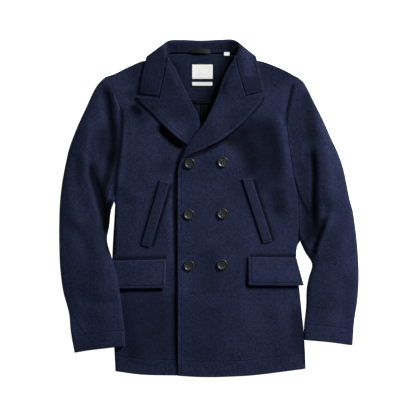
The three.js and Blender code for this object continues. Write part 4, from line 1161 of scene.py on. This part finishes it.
FRONT_TOPS = {"right": right_front_top, "left": left_front_top}
for side, (low, high) in FLAPS.items():
    plan, u, v = four_sided(low, high, 3.0)
    x, y = plan[..., 0], plan[..., 1]
    free = FLAP_LIFT * (1 - smoothstep(v, 0, 0.9)) + 1.2 * np.sin(np.pi * v) * np.sin(np.pi * u)
    free = free + unevenness(x, y, 60, 0.5, 0.2) * (1 - v)
    middle = np.dstack([x, y, FRONT_TOPS[side](x, y) + PLY + free + FLAP_CLOTH / 2])
    three_sides = np.array([high[0], low[0], low[1], high[1]], float)
    stitched = from_line(plan, three_sides)[0] - FLAP_STITCH
    # The flap is painted a tenth of a stop lighter, as painted light
    flap = wool_sheet(f"flap_{side}", middle, FLAP_CLOTH, lines=[stitched], shade=0.1)
    upper = raised(middle, FLAP_CLOTH / 2)
    line = np.concatenate([crossing(upper, stitched, 1)[::-1], crossing(upper, stitched, 0),
                           crossing(upper, stitched, 1, last=True)])
    laid_cloth(flap, middle, [f"wool_front_{side}"], [stitch_row(f"thread_flap_{side}", line)])

for side, (low, high) in WELTS.items():
    plan, u, _ = four_sided(low, high, 2.5)
    x, y = plan[..., 0], plan[..., 1]
    middle = np.dstack([x, y, FRONT_TOPS[side](x, y) + PLY + FLAP_CLOTH / 2 + 0.5 * np.sin(np.pi * u)])
    ends = [from_line(plan, np.array(end, float))[0] - WELT_STITCH for end in (low, high)]
    # The welt is painted a fifth of a stop darker, as painted shade
    welt = wool_sheet(f"welt_{side}", middle, FLAP_CLOTH, lines=ends, shade=-0.2)
    upper = raised(middle, FLAP_CLOTH / 2)
    rows = [stitch_row(f"thread_welt_{side}_{k + 1}", crossing(upper, ends[k], 0)) for k in range(2)]
    laid_cloth(welt, middle, [f"wool_front_{side}"], rows)

# The buttons: six dark horn buttons, 25.4 mm across, with a raised rim and four holes, sewn to the left
# front with two bars of thread.
BUTTON_RADIUS, BUTTON_HEIGHT, BUTTON_RIM, BUTTON_DISH = 12.7, 4.2, 2.4, 1.3
HOLE_RADIUS, HOLE_SPACING = 1.5, 5.0
BUTTON_GAP = 0.6
BUTTONS = {
    "button_top_right": (-47, 110.5), "button_top_left": (33, 114),
    "button_middle_right": (-49, -13), "button_middle_left": (32.7, -11),
    "button_low_right": (-48.6, -137.4), "button_low_left": (32, -135.2),
}


def lathe(name, profile, segments):
    """A closed turned shape about Z from a profile of (radius, height), first and last on the axis."""
    turn = np.linspace(0, 2 * np.pi, segments, endpoint=False)
    inner = np.asarray(profile[1:-1], float)
    ring = np.stack([inner[:, None, 0] * np.cos(turn), inner[:, None, 0] * np.sin(turn),
                     np.broadcast_to(inner[:, None, 1], (len(inner), segments))], -1)
    points = np.concatenate([ring.reshape(-1, 3), [[0, 0, profile[0][1]], [0, 0, profile[-1][1]]]])
    ids = np.arange(len(inner) * segments).reshape(len(inner), segments)
    after = np.roll(ids, -1, axis=1)
    faces = np.stack([ids[:-1], after[:-1], after[1:], ids[1:]], -1).reshape(-1, 4).tolist()
    first, last = len(points) - 2, len(points) - 1
    faces += np.stack([np.full(segments, first), after[0], ids[0]], -1).tolist()
    faces += np.stack([np.full(segments, last), ids[-1], after[-1]], -1).tolist()
    mesh = bpy.data.meshes.new(name)
    mesh.from_pydata(points.tolist(), [], faces)
    return mesh


def button_shape():
    """The button in millimetres: the turned disc less its four holes, as points and faces."""
    r, h, rim, dish = BUTTON_RADIUS, BUTTON_HEIGHT, BUTTON_RIM, BUTTON_DISH
    profile = [(0, 0), (r * 0.72, 0), (r * 0.9, h * 0.22), (r, h * 0.5), (r, h * 0.66),
               (r - 0.35, h * 0.85), (r - 1.0, h * 0.97), (r - rim * 0.62, h), (r - rim, h * 0.93),
               (r - rim * 1.35, h - dish * 0.7), (r - rim * 1.7, h - dish), (0, h - dish * 0.92)]
    disc = bpy.data.objects.new("disc", lathe("disc", profile, 64))
    bpy.context.collection.objects.link(disc)
    cutters = []
    for sx in (-1, 1):
        for sy in (-1, 1):
            mesh = lathe("hole", [(0, -5), (HOLE_RADIUS, -5), (HOLE_RADIUS, 10), (0, 10)], 20)
            mesh.transform(Matrix.Translation((sx * HOLE_SPACING / 2, sy * HOLE_SPACING / 2, 0)))
            cutter = bpy.data.objects.new("hole", mesh)
            bpy.context.collection.objects.link(cutter)
            cutters.append(cutter)
            cut = disc.modifiers.new("hole", "BOOLEAN")
            cut.operation = "DIFFERENCE"
            cut.solver = "EXACT"
            cut.object = cutter
    made = disc.evaluated_get(bpy.context.evaluated_depsgraph_get()).to_mesh()
    points = np.zeros(3 * len(made.vertices))
    made.vertices.foreach_get("co", points)
    faces = [list(face.vertices) for face in made.polygons]
    for thing in (disc, *cutters):
        bpy.data.objects.remove(thing)
    return points.reshape(-1, 3), faces


def horn():
    """Dark horn: satin, slightly cloudy, lighter where it is worn."""
    material, shader, start = finish("button_horn", {"Specular IOR Level": 0.5, "Coat Weight": 0.12,
                                                     "Coat Roughness": 0.25})
    place = start.node("ShaderNodeTexCoord", output=3)
    cloud = noise(place, 160, 3.0, 0.5, 1.2)
    colour = blend_colours(cloud.between(0.3, 0.7), (0.004, 0.0044, 0.005, 1), (0.016, 0.017, 0.018, 1))
    connect(shader, Base_Color=colour, Roughness=cloud * 0.25 + 0.28)
    return material


button_horn = horn()
button_thread = thread_finish("button_thread", (0.003, 0.003, 0.005, 1), (0.007, 0.008, 0.012, 1))
button_points, button_faces = button_shape()
for name, (x, y) in BUTTONS.items():
    turn = np.linspace(0, 2 * np.pi, 24, endpoint=False)
    east, north = BUTTON_RADIUS * np.cos(turn), BUTTON_RADIUS * np.sin(turn)
    ring = left_front_top(x + east, y + north)
    centre = float(left_front_top(np.array([x]), np.array([y]))[0])
    slope_x, slope_y = (ring * east).sum() / (east ** 2).sum(), (ring * north).sum() / (north ** 2).sum()
    base = max(centre, float((ring - slope_x * east - slope_y * north).max())) + BUTTON_GAP
    normal = np.array([-slope_x, -slope_y, 1.0])
    normal /= np.linalg.norm(normal)
    first = np.cross([0, 1.0, 0], normal)
    first /= np.linalg.norm(first)
    turned = np.stack([first, np.cross(normal, first), normal])
    points = button_points @ turned + [x, y, base]
    mesh = bpy.data.meshes.new(f"horn_{name}")
    mesh.from_pydata((points * MM).tolist(), [], button_faces)
    mesh.polygons.foreach_set("use_smooth", np.ones(len(button_faces), bool))
    mesh.set_sharp_from_angle(angle=0.7)
    piece(mesh, button_horn, "button_horn", name)
    half, level = HOLE_SPACING / 2, BUTTON_HEIGHT - BUTTON_DISH + 0.15
    bars = []
    for sx in (-1, 1):
        for shift in (-0.3, 0.3):
            ends = np.array([[sx * half + shift, -half, level], [sx * half + shift, half, level]])
            ends = ends @ turned + [x, y, base]
            bars.append(capsule_points(ends[0], ends[1], 0.42, 0.8))
    piece(threads(f"thread_{name}", bars), button_thread, "navy_wool")

# The stage: a white sweep just under the coat, a soft lamp low at the upper right, a weak one overhead
# and a faint even light. The camera looks straight down from 2.4 m.
FLOOR, FLOOR_Z = 6.0, -0.0003
floor_mesh = bpy.data.meshes.new("floor")
floor_mesh.from_pydata([(-FLOOR, -FLOOR, FLOOR_Z), (FLOOR, -FLOOR, FLOOR_Z), (FLOOR, FLOOR, FLOOR_Z),
                        (-FLOOR, FLOOR, FLOOR_Z)], [], [(0, 1, 2, 3)])
floor = bpy.data.objects.new("floor", floor_mesh)
bpy.context.collection.objects.link(floor)
white, shader, start = finish("white_sweep", {"Base Color": (0.8, 0.8, 0.8, 1), "Roughness": 1.0,
                                              "Emission Color": (1, 1, 1, 1), "Emission Strength": 1.0})
floor_mesh.materials.append(white)


def lamp(name, place, size, power):
    """A rectangular lamp aimed at the middle of the coat."""
    data = bpy.data.lights.new(name, "AREA")
    data.shape = "RECTANGLE"
    data.size, data.size_y = size
    data.energy = power
    light = bpy.data.objects.new(name, data)
    light.location = place
    light.rotation_euler = (-Vector(place)).to_track_quat("-Z", "Y").to_euler()
    bpy.context.collection.objects.link(light)


lamp("key", (1.95, 1.65, 1.45), (0.5, 0.5), 134)
lamp("fill", (0.3, 0.2, 2.6), (1.6, 1.6), 9)
world = bpy.data.worlds.new("room")
world.use_nodes = True
world.node_tree.nodes["Background"].inputs["Color"].default_value = (1, 1, 1, 1)
world.node_tree.nodes["Background"].inputs["Strength"].default_value = 0.08
scene = bpy.context.scene
scene.world = world
scene.view_settings.view_transform = "Standard"

camera_data = bpy.data.cameras.new("camera")
camera_data.sensor_width = 36
camera_data.lens = 85
camera = bpy.data.objects.new("camera", camera_data)
camera.location = (-0.0027, 0.0022, 2.40)
bpy.context.collection.objects.link(camera)
scene.camera = camera
